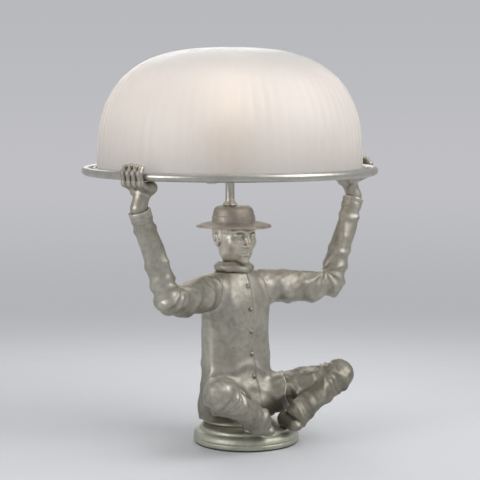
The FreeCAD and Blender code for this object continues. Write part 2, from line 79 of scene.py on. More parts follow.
def makeLight(name, s):
    data = bpy.data.lights.new(name, "AREA")
    data.shape = "SQUARE"
    data.size = s["size"]
    data.energy = s["power"]
    lamp = bpy.data.objects.new(name, data)
    scene.collection.objects.link(lamp)
    turn = math.radians(s["azimuth"])
    rise = math.radians(s["elevation"])
    way = Vector((math.sin(turn) * math.cos(rise), -math.cos(turn) * math.cos(rise), math.sin(rise)))
    lamp.location = way * s["reach"] + Vector((0, 0, 0.15))
    lamp.rotation_mode = "QUATERNION"
    lamp.rotation_quaternion = way.to_track_quat("Z", "Y")


def linear(r, g, b):
    # screen colour from 0 to 255 as scene colour
    out = []
    for v in (r, g, b):
        v = v / 255.0
        out.append(v / 12.92 if v <= 0.04045 else ((v + 0.055) / 1.055) ** 2.4)
    return (*out, 1.0)


def addNode(tree, kind, inputs=None, **props):
    made = tree.nodes.new(kind)
    for key, value in props.items():
        setattr(made, key, value)
    for key, value in (inputs or {}).items():
        if isinstance(value, bpy.types.NodeSocket):
            tree.links.new(value, made.inputs[key])
        else:
            made.inputs[key].default_value = value
    return made


def calc(tree, operation, *values):
    return addNode(tree, "ShaderNodeMath", dict(enumerate(values)), operation=operation).outputs[0]


def clamped(tree, value):
    return addNode(tree, "ShaderNodeClamp", {"Value": value}).outputs[0]


def noise(tree, vector, scale, detail, rest=None):
    inputs = {"Vector": vector, "Scale": scale, "Detail": detail, **(rest or {})}
    return addNode(tree, "ShaderNodeTexNoise", inputs).outputs[0]


def remap(tree, value, low, high, toLow=0.0, toHigh=1.0, how="LINEAR"):
    inputs = {"Value": value, "From Min": low, "From Max": high, "To Min": toLow, "To Max": toHigh}
    return addNode(tree, "ShaderNodeMapRange", inputs, interpolation_type=how).outputs[0]


def parted(tree, vector):
    return addNode(tree, "ShaderNodeSeparateXYZ", {0: vector}).outputs


def blendColour(tree, share, first, second):
    return addNode(tree, "ShaderNodeMix", {0: share, 6: first, 7: second}, data_type="RGBA").outputs[2]


def ramp(tree, source, stops, smooth="LINEAR"):
    made = addNode(tree, "ShaderNodeValToRGB", {"Fac": source})
    made.color_ramp.interpolation = smooth
    bar = made.color_ramp.elements
    while len(bar) < len(stops):
        bar.new(0.5)
    for element, (place, colour) in zip(bar, stops):
        element.position = place
        element.color = colour
    return made.outputs["Color"]


def newMaterial(name):
    mat = bpy.data.materials.new(name)
    mat.use_nodes = True
    mat.node_tree.nodes.clear()
    return mat, mat.node_tree


def toSurface(tree, shader, kind="ShaderNodeOutputMaterial"):
    out = addNode(tree, kind)
    tree.links.new(shader.outputs[0], out.inputs["Surface"])


# bands of the background, each at the height that its view ray reaches per metre; the change of brightness
# with height, with its darker band low down, is painted light and shade on a plain backdrop
worldSet = {"ambient": 0.515, "room": (0.97, 0.98, 1.0, 1.0), "span": 0.25,
            "bands": ((-0.185, linear(197, 198, 202)), (-0.145, linear(178, 180, 184)),
                      (-0.06, linear(192, 192, 196)), (0.06, linear(184, 185, 189)))}


def makeWorld(s):
    world = bpy.data.worlds.new("studio")
    scene.world = world
    world.use_nodes = True
    tree = world.node_tree
    tree.nodes.clear()
    height = parted(tree, addNode(tree, "ShaderNodeTexCoord").outputs["Generated"])["Z"]
    share = remap(tree, height, -s["span"], s["span"])
    stops = [(0.5 + 0.5 * level / s["span"], colour) for level, colour in s["bands"]]
    seen = addNode(tree, "ShaderNodeBackground", {"Color": ramp(tree, share, stops, "EASE"), "Strength": 1.0})
    room = addNode(tree, "ShaderNodeBackground", {"Color": s["room"], "Strength": s["ambient"]})
    rays = addNode(tree, "ShaderNodeLightPath").outputs
    shown = calc(tree, "MAXIMUM", rays["Is Camera Ray"], rays["Is Glossy Ray"])
    shown = calc(tree, "MAXIMUM", shown, rays["Is Transmission Ray"])
    mixed = addNode(tree, "ShaderNodeMixShader", {0: shown, 1: room.outputs[0], 2: seen.outputs[0]})
    toSurface(tree, mixed, "ShaderNodeOutputWorld")


floorSet = {"radius": 0.78, "fadeFrom": 0.14, "fadeTo": 0.70, "colour": (0.65, 0.66, 0.683, 1.0),
            "roughness": 0.75, "shine": 0.15}


def makeFloor(s):
    shape = bmesh.new()
    bmesh.ops.create_circle(shape, cap_ends=True, segments=96, radius=s["radius"])
    mesh = bpy.data.meshes.new("studioFloor")
    shape.to_mesh(mesh)
    shape.free()
    floor = bpy.data.objects.new("studioFloor", mesh)
    scene.collection.objects.link(floor)
    mat, tree = newMaterial("studioFloor")
    spot = addNode(tree, "ShaderNodeTexCoord").outputs["Object"]
    reach = addNode(tree, "ShaderNodeVectorMath", {0: spot}, operation="LENGTH").outputs["Value"]
    fade = remap(tree, reach, s["fadeFrom"], s["fadeTo"], how="SMOOTHSTEP")
    paper = addNode(tree, "ShaderNodeBsdfPrincipled", {
        "Base Color": s["colour"], "Roughness": s["roughness"], "Specular IOR Level": s["shine"]})
    clear = addNode(tree, "ShaderNodeBsdfTransparent")
    toSurface(tree, addNode(tree, "ShaderNodeMixShader", {0: fade, 1: paper.outputs[0], 2: clear.outputs[0]}))
    floor.data.materials.append(mat)


makeCamera(cameraSet)
for lampName, lampSet in lightSet.items():
    makeLight(lampName, lampSet)
makeWorld(worldSet)
makeFloor(floorSet)
scene.view_settings.view_transform = "Standard"
print("stage: camera, lights and floor")


# Shared effects

def newGroup(name, takes, *gives):
    # inputs are numbers, vectors of three values or colours of four
    group = bpy.data.node_groups.new(name, "ShaderNodeTree")
    kinds = {3: "NodeSocketVector", 4: "NodeSocketColor"}
    for label, value in takes.items():
        kind = kinds.get(np.size(value), "NodeSocketFloat")
        group.interface.new_socket(label, in_out="INPUT", socket_type=kind).default_value = value
    for label in gives:
        kind = "NodeSocketColor" if label == "Color" else "NodeSocketFloat"
        group.interface.new_socket(label, in_out="OUTPUT", socket_type=kind)
    return group, addNode(group, "NodeGroupInput").outputs, addNode(group, "NodeGroupOutput").inputs


def makeMottle():
    # cloudy change of a finish, as two noises of different size
    takes = {"Vector": (0, 0, 0), "Scale": 40.0, "Contrast": 1.0, "Light": (1, 1, 1, 1), "Dark": (0, 0, 0, 1)}
    group, given, result = newGroup("mottle", takes, "Color", "Value")
    large = noise(group, given["Vector"], given["Scale"], 4.0, {"Roughness": 0.6})
    finer = calc(group, "MULTIPLY", given["Scale"], 5.3)
    small = noise(group, given["Vector"], finer, 5.0, {"Roughness": 0.65, "Distortion": 0.4})
    both = calc(group, "MULTIPLY_ADD", small, 0.45, calc(group, "MULTIPLY", large, 0.55))
    gain = calc(group, "MULTIPLY", given["Contrast"], 3.0)
    spread = calc(group, "MULTIPLY", calc(group, "SUBTRACT", both, 0.5), gain)
    value = clamped(group, calc(group, "ADD", spread, 0.5))
    group.links.new(blendColour(group, value, given["Dark"], given["Light"]), result["Color"])
    group.links.new(value, result["Value"])
    return group


def makeEdgeWear():
    # worn edges, broken up by noise
    takes = {"Vector": (0, 0, 0), "Ridge": 0.0, "Amount": 0.6, "Scale": 180.0}
    group, given, result = newGroup("edgeWear", takes, "Mask")
    patches = noise(group, given["Vector"], given["Scale"], 5.0)
    broken = calc(group, "MULTIPLY", given["Ridge"], calc(group, "MULTIPLY_ADD", patches, 2.0, 0.1))
    group.links.new(clamped(group, calc(group, "MULTIPLY", broken, given["Amount"])), result["Mask"])
    return group


def makeDust():
    # dust that lies on faces that look up
    takes = {"Vector": (0, 0, 0), "Amount": 0.15, "Scale": 60.0}
    group, given, result = newGroup("dust", takes, "Mask")
    up = parted(group, addNode(group, "ShaderNodeNewGeometry").outputs["Normal"])["Z"]
    lying = remap(group, up, 0.35, 1.0)
    specks = noise(group, given["Vector"], given["Scale"], 6.0)
    mask = calc(group, "MULTIPLY", calc(group, "MULTIPLY", lying, specks), given["Amount"])
    group.links.new(mask, result["Mask"])
    return group


def makeGrain():
    # fine unevenness of a cast, sanded or pressed skin
    takes = {"Vector": (0, 0, 0), "Scale": 900.0, "Pits": 0.3}
    group, given, result = newGroup("grain", takes, "Height")
    fine = noise(group, given["Vector"], given["Scale"], 3.0)
    wide = noise(group, given["Vector"], calc(group, "MULTIPLY", given["Scale"], 0.16), 2.0)
    cellScale = calc(group, "MULTIPLY", given["Scale"], 0.5)
    cells = addNode(group, "ShaderNodeTexVoronoi", {"Vector": given["Vector"], "Scale": cellScale})
    pit = remap(group, cells.outputs["Distance"], 0.0, 0.25)
    pitted = calc(group, "MULTIPLY", calc(group, "SUBTRACT", pit, 1.0), given["Pits"])
    height = calc(group, "ADD", calc(group, "ADD", fine, calc(group, "MULTIPLY", wide, 2.0)), pitted)
    group.links.new(height, result["Height"])
    return group


effects = {"mottle": makeMottle(), "wear": makeEdgeWear(), "dust": makeDust(), "grain": makeGrain()}


def useGroup(tree, name, inputs):
    return addNode(tree, "ShaderNodeGroup", inputs, node_tree=effects[name]).outputs


# what a finish takes where its own entry says nothing
finishSet = {"contrast": 1.0, "recess": 0.8, "wear": 0.5, "dust": 0.1, "dustColour": (0.55, 0.53, 0.49, 1),
             "polish": 0.1, "grain": 900.0, "pits": 0.3, "lineHeight": 1.0, "bump": 0.2, "depth": 0.0002,
             "metallic": 1.0, "edgeSpan": (0.51, 0.60), "hollowSpan": (0.495, 0.42), "fixed": {}}


def finish(name, look):
    # mottled colour, dark recesses, worn edges, dust, grain, and lines where it was turned or drawn
    s = {**finishSet, "deep": look["dark"], "bright": look["light"], **look}
    mat, tree = newMaterial(name)
    spot = addNode(tree, "ShaderNodeTexCoord").outputs["Object"]
    if s.get("sculpted"):
        edges = addNode(tree, "ShaderNodeAttribute", attribute_name="ridge").outputs["Fac"]
        hollows = addNode(tree, "ShaderNodeAttribute", attribute_name="recess").outputs["Fac"]
    else:
        point = addNode(tree, "ShaderNodeNewGeometry").outputs["Pointiness"]
        edges = remap(tree, point, *s["edgeSpan"])
        hollows = remap(tree, point, *s["hollowSpan"])
    cloud = useGroup(tree, "mottle", {"Vector": spot, "Scale": s["scale"], "Contrast": s["contrast"],
                                      "Light": s["light"], "Dark": s["dark"]})
    colour = blendColour(tree, calc(tree, "MULTIPLY", hollows, s["recess"]), cloud["Color"], s["deep"])
    worn = useGroup(tree, "wear", {"Vector": spot, "Ridge": edges, "Amount": s["wear"],
                                   "Scale": s["scale"] * 4})
    colour = blendColour(tree, worn["Mask"], colour, s["bright"])
    dusty = useGroup(tree, "dust", {"Vector": spot, "Amount": s["dust"], "Scale": s["scale"] * 2})
    colour = blendColour(tree, dusty["Mask"], colour, s["dustColour"])
    if s.get("lowerDarkening"):
        # colour darkened towards the bottom of the piece
        low, high, most = s["lowerDarkening"]
        darker = remap(tree, parted(tree, spot)["Z"], low, high, most, 0.0, "SMOOTHSTEP")
        colour = blendColour(tree, darker, colour, s["deep"])
    low, high = s["roughness"]
    rough = remap(tree, cloud["Value"], 0.0, 1.0, high, low)
    rough = calc(tree, "ADD", rough, calc(tree, "MULTIPLY", dusty["Mask"], 0.4))
    rough = calc(tree, "SUBTRACT", rough, calc(tree, "MULTIPLY", worn["Mask"], s["polish"]))
    height = useGroup(tree, "grain", {"Vector": spot, "Scale": s["grain"], "Pits": s["pits"]})["Height"]
    if s.get("lines"):
        stretch = addNode(tree, "ShaderNodeMapping", {"Vector": spot, "Scale": s["lines"]}).outputs[0]
        drawn = noise(tree, stretch, 1.0, 3.0)
        height = calc(tree, "ADD", height, calc(tree, "MULTIPLY", drawn, s["lineHeight"]))
    bump = addNode(tree, "ShaderNodeBump", {"Height": height, "Strength": s["bump"], "Distance": s["depth"]})
    shader = addNode(tree, "ShaderNodeBsdfPrincipled", {
        "Base Color": colour, "Roughness": rough, "Normal": bump.outputs[0], **s["fixed"]})
    if s["metallic"] > 0:
        covered = calc(tree, "MULTIPLY", dusty["Mask"], 0.8 * s["metallic"])
        tree.links.new(calc(tree, "SUBTRACT", s["metallic"], covered), shader.inputs["Metallic"])
    toSurface(tree, shader)
    return mat


castLook = {"light": (0.49, 0.465, 0.40, 1), "dark": (0.32, 0.30, 0.25, 1), "deep": (0.10, 0.09, 0.065, 1),
            "bright": (0.72, 0.69, 0.61, 1), "scale": 38.0, "contrast": 1.2, "roughness": (0.42, 0.58),
            "recess": 0.85, "wear": 0.7, "dust": 0.22, "grain": 1100.0, "pits": 0.5, "bump": 0.25,
            "depth": 0.00016, "metallic": 0.92, "polish": 0.14}
clothLook = dict(castLook, sculpted=True, lowerDarkening=(0.038, 0.085, 0.42))
skinLook = dict(castLook, sculpted=True, light=(0.73, 0.68, 0.575, 1), dark=(0.57, 0.53, 0.44, 1),
                contrast=0.8, grain=700.0, bump=0.14, roughness=(0.38, 0.50))


looks = {
    "castCloth": clothLook,
    "castSkin": skinLook,
    "castHand": dict(skinLook, light=(0.47, 0.44, 0.375, 1), dark=(0.35, 0.325, 0.27, 1)),
    # darker copy of the cloth finish: painted shade on the trouser leg that lies in shade
    "castTrouser": dict(castLook, sculpted=True, light=(0.31, 0.29, 0.235, 1), dark=(0.185, 0.172, 0.135, 1),
                        bright=(0.56, 0.54, 0.47, 1)),
    "castShin": dict(clothLook, lowerDarkening=(0.030, 0.075, 0.30)),
    "castBase": dict(castLook, light=(0.53, 0.53, 0.44, 1), dark=(0.38, 0.38, 0.30, 1),
                     bright=(0.68, 0.67, 0.58, 1)),
    "castHat": dict(castLook, light=(0.52, 0.475, 0.42, 1), dark=(0.38, 0.342, 0.29, 1)),
    "ringMetal": dict(castLook, light=(0.52, 0.505, 0.46, 1), dark=(0.40, 0.385, 0.335, 1),
                      roughness=(0.28, 0.40), dust=0.12),
    "turnedMetal": {
        "light": (0.60, 0.58, 0.52, 1), "dark": (0.47, 0.45, 0.39, 1), "deep": (0.2, 0.18, 0.14, 1),
        "bright": (0.8, 0.78, 0.72, 1), "scale": 60.0, "roughness": (0.24, 0.36), "wear": 0.6, "dust": 0.08,
        "grain": 1500.0, "bump": 0.12, "depth": 0.0001, "contrast": 0.6, "lines": (200.0, 200.0, 5000.0),
        "lineHeight": 0.7},
    "steel": {
        "light": (0.60, 0.60, 0.60, 1), "dark": (0.48, 0.48, 0.49, 1), "deep": (0.2, 0.19, 0.18, 1),
        "scale": 90.0, "roughness": (0.26, 0.42), "wear": 0.4, "dust": 0.08, "grain": 1800.0, "bump": 0.12,
        "depth": 0.0001, "lines": (200.0, 4000.0, 200.0)},
    "iron": {
        "light": (0.10, 0.10, 0.10, 1), "dark": (0.05, 0.05, 0.052, 1), "scale": 80.0,
        "roughness": (0.55, 0.75), "metallic": 0.5, "grain": 700.0, "pits": 0.8, "bump": 0.4,
        "depth": 0.0003},
    "felt": {
        "light": (0.045, 0.062, 0.045, 1), "dark": (0.022, 0.033, 0.024, 1), "scale": 260.0,
        "roughness": (0.88, 0.98), "metallic": 0.0, "dust": 0.12, "grain": 2600.0, "pits": 0.0, "bump": 0.8,
        "depth": 0.0004, "wear": 0.0, "fixed": {"Sheen Weight": 0.35, "Sheen Roughness": 0.5}},
    "rubber": {
        "light": (0.62, 0.60, 0.56, 1), "dark": (0.50, 0.48, 0.44, 1), "scale": 120.0,
        "roughness": (0.5, 0.62), "metallic": 0.0, "grain": 1600.0, "bump": 0.15, "wear": 0.1},
    "brass": {
        "light": (0.74, 0.56, 0.29, 1), "dark": (0.55, 0.39, 0.19, 1), "deep": (0.20, 0.13, 0.07, 1),
        "bright": (0.86, 0.70, 0.42, 1), "scale": 70.0, "roughness": (0.22, 0.38), "wear": 0.6, "dust": 0.08,
        "grain": 1500.0, "bump": 0.1, "depth": 0.0001, "contrast": 0.5, "lines": (200.0, 200.0, 5000.0),
        "lineHeight": 0.6},
    "capMetal": {
        "light": (0.70, 0.70, 0.71, 1), "dark": (0.56, 0.56, 0.58, 1), "deep": (0.25, 0.25, 0.26, 1),
        "scale": 120.0, "roughness": (0.2, 0.34), "dust": 0.05, "grain": 1800.0, "bump": 0.08,
        "depth": 0.0001},
    "phenolic": {
        "light": (0.028, 0.020, 0.016, 1), "dark": (0.014, 0.010, 0.008, 1),
        "bright": (0.07, 0.055, 0.045, 1), "scale": 150.0, "roughness": (0.24, 0.36), "metallic": 0.0,
        "grain": 1300.0, "bump": 0.06, "wear": 0.2, "fixed": {"Coat Weight": 0.3, "Coat Roughness": 0.18}},
    "porcelain": {
        "light": (0.78, 0.77, 0.73, 1), "dark": (0.70, 0.69, 0.64, 1), "scale": 90.0,
        "roughness": (0.14, 0.24), "metallic": 0.0, "dust": 0.05, "bump": 0.05, "wear": 0.0,
        "fixed": {"Coat Weight": 0.6, "Coat Roughness": 0.08}},
    "paper": {
        "light": (0.36, 0.25, 0.14, 1), "dark": (0.26, 0.17, 0.09, 1), "scale": 200.0,
        "roughness": (0.7, 0.85), "metallic": 0.0, "dust": 0.05, "grain": 2200.0, "bump": 0.3, "wear": 0.1},
    "leadSheath": {
        "light": (0.30, 0.16, 0.08, 1), "dark": (0.22, 0.115, 0.055, 1), "scale": 160.0,
        "roughness": (0.45, 0.6), "metallic": 0.0, "dust": 0.08, "grain": 1600.0, "bump": 0.15, "wear": 0.0},
    "glow": {
        "light": (0.95, 0.80, 0.55, 1), "dark": (0.85, 0.66, 0.40, 1), "scale": 400.0,
        "roughness": (0.4, 0.6), "metallic": 0.0, "grain": 1500.0,
        "fixed": {"Emission Color": (1.0, 0.86, 0.70, 1), "Emission Strength": 0.6}},
}
finishes = {name: finish(name, look) for name, look in looks.items()}


glassSet = {"colour": (0.93, 0.90, 0.87, 1), "roughness": (0.40, 0.52), "ior": 1.46, "transmission": 0.72,
            "grain": 2400.0,
            "glow": {"bulb": (0.0, 0.0, 0.339), "near": 0.05, "far": 0.15, "rest": 0.60,
                     "low": 0.268, "high": 0.335, "rimShare": 0.35, "crownLow": 0.350, "crownHigh": 0.384,
                     "colour": (0.126, 0.108, 0.094, 1)}}
bulbGlassSet = {"colour": (0.96, 0.93, 0.88, 1), "roughness": (0.30, 0.40), "ior": 1.45, "transmission": 0.6,
                "grain": 2000.0, "fixed": {"Emission Color": (1.0, 0.88, 0.80, 1), "Emission Strength": 0.24}}


def glowColour(tree, spot, g):
    # lit from inside: strongest beside the bulb, weaker at the rim, none on the crown
    off = addNode(tree, "ShaderNodeVectorMath", {0: spot, 1: g["bulb"]}, operation="DISTANCE")
    near = remap(tree, off.outputs["Value"], g["near"], g["far"], 1.0, 0.0, "SMOOTHSTEP")
    height = parted(tree, spot)["Z"]
    lift = remap(tree, height, g["low"], g["high"], how="SMOOTHSTEP")
    crown = remap(tree, height, g["crownLow"], g["crownHigh"], 1.0, 0.0, "SMOOTHSTEP")
    near = calc(tree, "MULTIPLY_ADD", near, 1.0 - g["rest"], g["rest"])
    lift = calc(tree, "MULTIPLY_ADD", lift, 1.0 - g["rimShare"], g["rimShare"])
    share = calc(tree, "MULTIPLY", calc(tree, "MULTIPLY", near, lift), crown)
    return blendColour(tree, share, (0, 0, 0, 1), g["colour"])


def frostedGlass(name, s):
    # acid-etched glass: even transmission, roughness and fine bump that change over the surface
    mat, tree = newMaterial(name)
    spot = addNode(tree, "ShaderNodeTexCoord").outputs["Object"]
    cloud = useGroup(tree, "mottle", {"Vector": spot, "Scale": 22.0, "Contrast": 0.5, "Light": s["colour"],
                                      "Dark": tuple(0.93 * v for v in s["colour"][:3]) + (1,)})
    rough = remap(tree, cloud["Value"], 0.0, 1.0, *s["roughness"])
    height = useGroup(tree, "grain", {"Vector": spot, "Scale": s["grain"], "Pits": 0.2})["Height"]
    bump = addNode(tree, "ShaderNodeBump", {"Height": height, "Strength": 0.12, "Distance": 0.0001})
    shader = addNode(tree, "ShaderNodeBsdfPrincipled", {
        "Base Color": cloud["Color"], "Roughness": rough, "Normal": bump.outputs[0], "IOR": s["ior"],
        "Transmission Weight": s["transmission"], **s.get("fixed", {})})
    if s.get("glow"):
        tree.links.new(glowColour(tree, spot, s["glow"]), shader.inputs["Emission Color"])
        shader.inputs["Emission Strength"].default_value = 1.0
    toSurface(tree, shader)
    return mat


finishes["shadeGlass"] = frostedGlass("shadeGlass", glassSet)
finishes["bulbGlass"] = frostedGlass("bulbGlass", bulbGlassSet)
print("stage: finishes,", len(finishes))


# Helpers for meshes

def smoothed(mesh, angle=None):
    mesh.polygons.foreach_set("use_smooth", np.ones(len(mesh.polygons), bool))
    if angle:
        mesh.set_sharp_from_angle(angle=math.radians(angle))


def outward(mesh, angle):
    work = bmesh.new()
    work.from_mesh(mesh)
    bmesh.ops.recalc_face_normals(work, faces=work.faces)
    work.to_mesh(mesh)
    work.free()
    mesh.set_sharp_from_angle(angle=math.radians(angle))


def newPiece(name, points, faces, angle=None):
    mesh = bpy.data.meshes.new(name)
    if not isinstance(faces, list):
        faces = faces.tolist()
    mesh.from_pydata(np.asarray(points, float).tolist(), [], faces)
    mesh.validate()
    smoothed(mesh, angle)
    piece = bpy.data.objects.new(name, mesh)
    scene.collection.objects.link(piece)
    return piece


def place(piece, look, slot, body="root", replaces=()):
    piece.data.materials.clear()
    piece.data.materials.append(finishes[look])
    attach(piece, body)
    if replaces:
        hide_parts(*replaces)
    return piece


def softened(points, closed=True):
    # outline with each corner (r, z, rounding) turned into a short arc
    out = []
    count = len(points)
    for i, (r, z, size) in enumerate(points):
        here = np.array((r, z), float)
        before = np.array(points[i - 1][:2], float)
        after = np.array(points[(i + 1) % count][:2], float)
        if size <= 0 or (not closed and i in (0, count - 1)):
            out.append((r, z))
            continue
        a = before - here
        b = after - here
        cut = min(size, 0.45 * np.linalg.norm(a), 0.45 * np.linalg.norm(b))
        a = here + a / np.linalg.norm(a) * cut
        b = here + b / np.linalg.norm(b) * cut
        for t in np.linspace(0, 1, 5):
            out.append(tuple((1 - t) ** 2 * a + 2 * t * (1 - t) * here + t ** 2 * b))
    return out


def lathe(name, outline, centre=(0, 0), segments=192, closed=True, shape=None, angle=40):
    # turns an outline of (r, z) in millimetres round a vertical axis; r of 0 makes a pole
    points = []
    rows = []
    turns = np.linspace(0, 2 * math.pi, segments, endpoint=False)
    for r, z in outline:
        if r < 1e-6:
            rows.append([len(points)])
            points.append((centre[0], centre[1], z))
            continue
        rows.append(list(range(len(points), len(points) + segments)))
        rr = np.full(segments, r)
        zz = np.full(segments, z)
        if shape:
            rr, zz = shape(rr, zz, turns)
        points.extend(zip(centre[0] + rr * np.cos(turns), centre[1] + rr * np.sin(turns), zz))
    faces = []
    pairs = list(zip(rows, rows[1:] + rows[:1])) if closed else list(zip(rows, rows[1:]))
    for one, two in pairs:
        for i in range(segments):
            j = (i + 1) % segments
            if len(one) == 1 and len(two) == 1:
                break
            if len(one) == 1:
                faces.append((one[0], two[j], two[i]))
            elif len(two) == 1:
                faces.append((one[i], one[j], two[0]))
            else:
                faces.append((one[i], one[j], two[j], two[i]))
    piece = newPiece(name, np.array(points) * mm, faces)
    outward(piece.data, angle)
    return piece


# Sculpting: forms are distances in millimetres, negative inside

def taper(p, a, b, ra, rb):
    a = np.array(a, float)
    ab = np.array(b, float) - a
    t = np.clip((p - a) @ ab / (ab @ ab), 0, 1)
    off = p - a - t[:, None] * ab
    return np.sqrt((off * off).sum(1)) - (ra + (rb - ra) * t)


def ball(p, centre, radius):
    off = p - np.array(centre, float)
    return np.sqrt((off * off).sum(1)) - radius


def egg(p, centre, halves, tilt=0.0):
    off = p - np.array(centre, float)
    if tilt:
        c = math.cos(math.radians(tilt))
        s = math.sin(math.radians(tilt))
        off = np.stack([off[:, 0], c * off[:, 1] + s * off[:, 2], -s * off[:, 1] + c * off[:, 2]], 1)
    h = np.array(halves, float)
    near = np.sqrt(((off / h) ** 2).sum(1))
    slope = np.sqrt(((off / (h * h)) ** 2).sum(1))
    return near * (near - 1) / np.maximum(slope, 1e-6)


def hoop(p, centre, radius, size):
    off = p - np.array(centre, float)
    flat = np.sqrt(off[:, 0] ** 2 + off[:, 1] ** 2) - radius
    return np.sqrt(flat ** 2 + off[:, 2] ** 2) - size


def soft(d, e, k):
    # union with a fillet of size k
    h = np.clip(0.5 + 0.5 * (e - d) / k, 0, 1)
    return e + (d - e) * h - k * h * (1 - h)


def carve(d, e, k):
    # takes e out of d, with a rounded edge of size k
    return -soft(-d, e, k)


def ridge(x, power=3.0):
    return (0.5 + 0.5 * np.cos(x)) ** power


def sway(p, size, seed):
    # slow smooth noise from -1 to 1
    rng = np.random.default_rng(seed)
    total = np.zeros(len(p))
    for _ in range(5):
        way = rng.normal(size=3)
        way /= np.linalg.norm(way)
        total += np.sin(p @ way * (2 * math.pi / (size * rng.uniform(0.7, 1.5))) + rng.uniform(0, 6.3))
    return total / 3.2


corners = [(i, j, k) for i in (0, 1) for j in (0, 1) for k in (0, 1)]
cellEdges = [(a, b) for a in range(8) for b in range(a + 1, 8)
             if sum(abs(corners[a][n] - corners[b][n]) for n in range(3)) == 1]


def samples(form, low, count, step, block=6):
    # values on the grid, worked out finely only near the surface
    blocks = -(-count // block)
    axes = [low[n] + (np.arange(blocks[n]) * block + (block - 1) / 2) * step for n in range(3)]
    centres = np.stack(np.meshgrid(*axes, indexing="ij"), -1).reshape(-1, 3)
    coarse = form(centres)
    values = coarse.reshape(blocks)
    for n in range(3):
        values = np.repeat(values, block, axis=n)
    values = np.ascontiguousarray(values)
    inner = np.stack(np.meshgrid(*[np.arange(block)] * 3, indexing="ij"), -1).reshape(-1, 3)
    live = np.argwhere((np.abs(coarse) < 1.25 * step * block).reshape(blocks)) * block
    for start in range(0, len(live), 1500):
        index = (live[start:start + 1500, None, :] + inner[None]).reshape(-1, 3)
        values[index[:, 0], index[:, 1], index[:, 2]] = form(low + index * step)
    return values


def sculpt(name, form, low, high, step):
    low = np.array(low, float)
    count = np.ceil((np.array(high, float) - low) / step).astype(int) + 1
    values = samples(form, low, count, step)
    inside = values < 0
    size = np.array(values.shape) - 1
    total = np.zeros(size, np.uint8)
    for i, j, k in corners:
        total += inside[i:i + size[0], j:j + size[1], k:k + size[2]]
    crossing = (total > 0) & (total < 8)
    cells = np.argwhere(crossing)
    number = np.full(values.shape, -1, np.int64)
    number[:size[0], :size[1], :size[2]][crossing] = np.arange(len(cells))
    at = np.stack([values[cells[:, 0] + i, cells[:, 1] + j, cells[:, 2] + k] for i, j, k in corners], 1)
    gathered = np.zeros((len(cells), 3))
    hits = np.zeros(len(cells))
    for a, b in cellEdges:
        cross = (at[:, a] < 0) != (at[:, b] < 0)
        t = np.where(cross, at[:, a] / np.where(cross, at[:, a] - at[:, b], 1), 0)
        spot = np.array(corners[a]) + t[:, None] * (np.array(corners[b]) - np.array(corners[a]))
        gathered += spot * cross[:, None]
        hits += cross
    points = low + (cells + gathered / hits[:, None]) * step
    faces = []
    for axis in range(3):
        u = np.eye(3, dtype=int)[(axis + 1) % 3]
        v = np.eye(3, dtype=int)[(axis + 2) % 3]
        one = inside
        two = np.roll(inside, -1, axis)
        edge = one != two
        edge[tuple(slice(-1, None) if n == axis else slice(None) for n in range(3))] = False
        for n in range(3):
            if n != axis:
                edge[tuple(slice(0, 1) if m == n else slice(None) for m in range(3))] = False
        spots = np.argwhere(edge)
        quad = np.stack([number[tuple((spots - u - v).T)], number[tuple((spots - v).T)],
                         number[tuple(spots.T)], number[tuple((spots - u).T)]], 1)
        flip = ~one[tuple(spots.T)]
        quad[flip] = quad[flip][:, ::-1]
        faces.append(quad)
    faces = np.concatenate(faces)
    faces = faces[(faces >= 0).all(1)]

    def slope(q, h=0.12):
        return np.stack([(form(q + h * way) - form(q - h * way)) / (2 * h) for way in np.eye(3)], 1)

    for _ in range(2):
        g = slope(points)
        move = form(points)[:, None] * g / np.maximum((g * g).sum(1), 0.2)[:, None]
        points = points - np.clip(move, -0.6 * step, 0.6 * step)
    g = slope(points)
    normal = g / np.maximum(np.sqrt((g * g).sum(1)), 1e-6)[:, None]
    piece = newPiece(name, points * mm, faces)
    recess = np.clip(1.0 - form(points + normal * 2.4) / 2.4, 0, 1)
    recess = np.clip(0.7 * recess + 0.5 * np.clip(1.0 - form(points + normal * 0.9) / 0.9, 0, 1), 0, 1)
    sharp = np.clip(1.5 * (1.0 + form(points - normal * 1.3) / 1.3), 0, 1)
    for label, data in (("recess", recess), ("ridge", sharp)):
        layer = piece.data.attributes.new(label, "FLOAT", "POINT")
        layer.data.foreach_set("value", data.astype(np.float32))
    print("  sculpted", name, len(faces), "faces")
    return piece


# The figure, in millimetres; the limbs are given for positive x and mirrored for the other side

sides = (("left", 1, 0.4), ("right", -1, 2.1))     # name, sign of x, start of the fold pattern
fig = {
    "shoulder": (33, -8, 154), "elbow": (101, -37, 150), "slackIn": (38, -11, 146),
    "slackOut": (82, -28, 144), "wrist": (131, -36, 232), "hand": (130.0, -34.5),
    "hip": (20, -16, 41), "knee": (75.5, -81, 66), "lapIn": (17, -31, 39), "lapOut": (70, -76, 62),
    "ankle": (24, -76, 31), "heel": (22, -60, 24.5), "toe": (17, -81, 23.5),
    "cuffTop": 240.0, "handIn": 112.0, "handLow": 222.0,
    "bodyStep": 0.85, "limbStep": 0.75, "handStep": 0.5, "headStep": 0.42, "collarStep": 0.6,
    "baseTop": 17.0, "ringLow": 263.0, "ringLevel": 267.0, "ringReach": 142.0, "ringBead": 4.0,
}

tunicSet = {
    "levels": (22, 36, 52, 70, 98, 125, 147, 160, 169), "middle": (-11, -12, -12, -10, -9, -9, -8, -7, -6),
    "wide": (40, 42, 40, 38.5, 38, 38.5, 38, 32, 19), "deep": (31, 34, 30, 26, 24, 23.5, 21, 17, 14),
    "low": 22.05, "top": 167.0, "foldCount": 9, "foldDepth": 2.3, "foldShare": 0.48, "foldGrowth": 0.60,
    "pull": 2.0, "waist": 1.5, "unevenness": 0.35, "placket": 4.0, "placketDepth": 0.75, "hemLevel": 27.5,
    "hemDepth": 0.35, "buttons": (66, 88, 110, 132, 154), "buttonSize": 2.0,
}


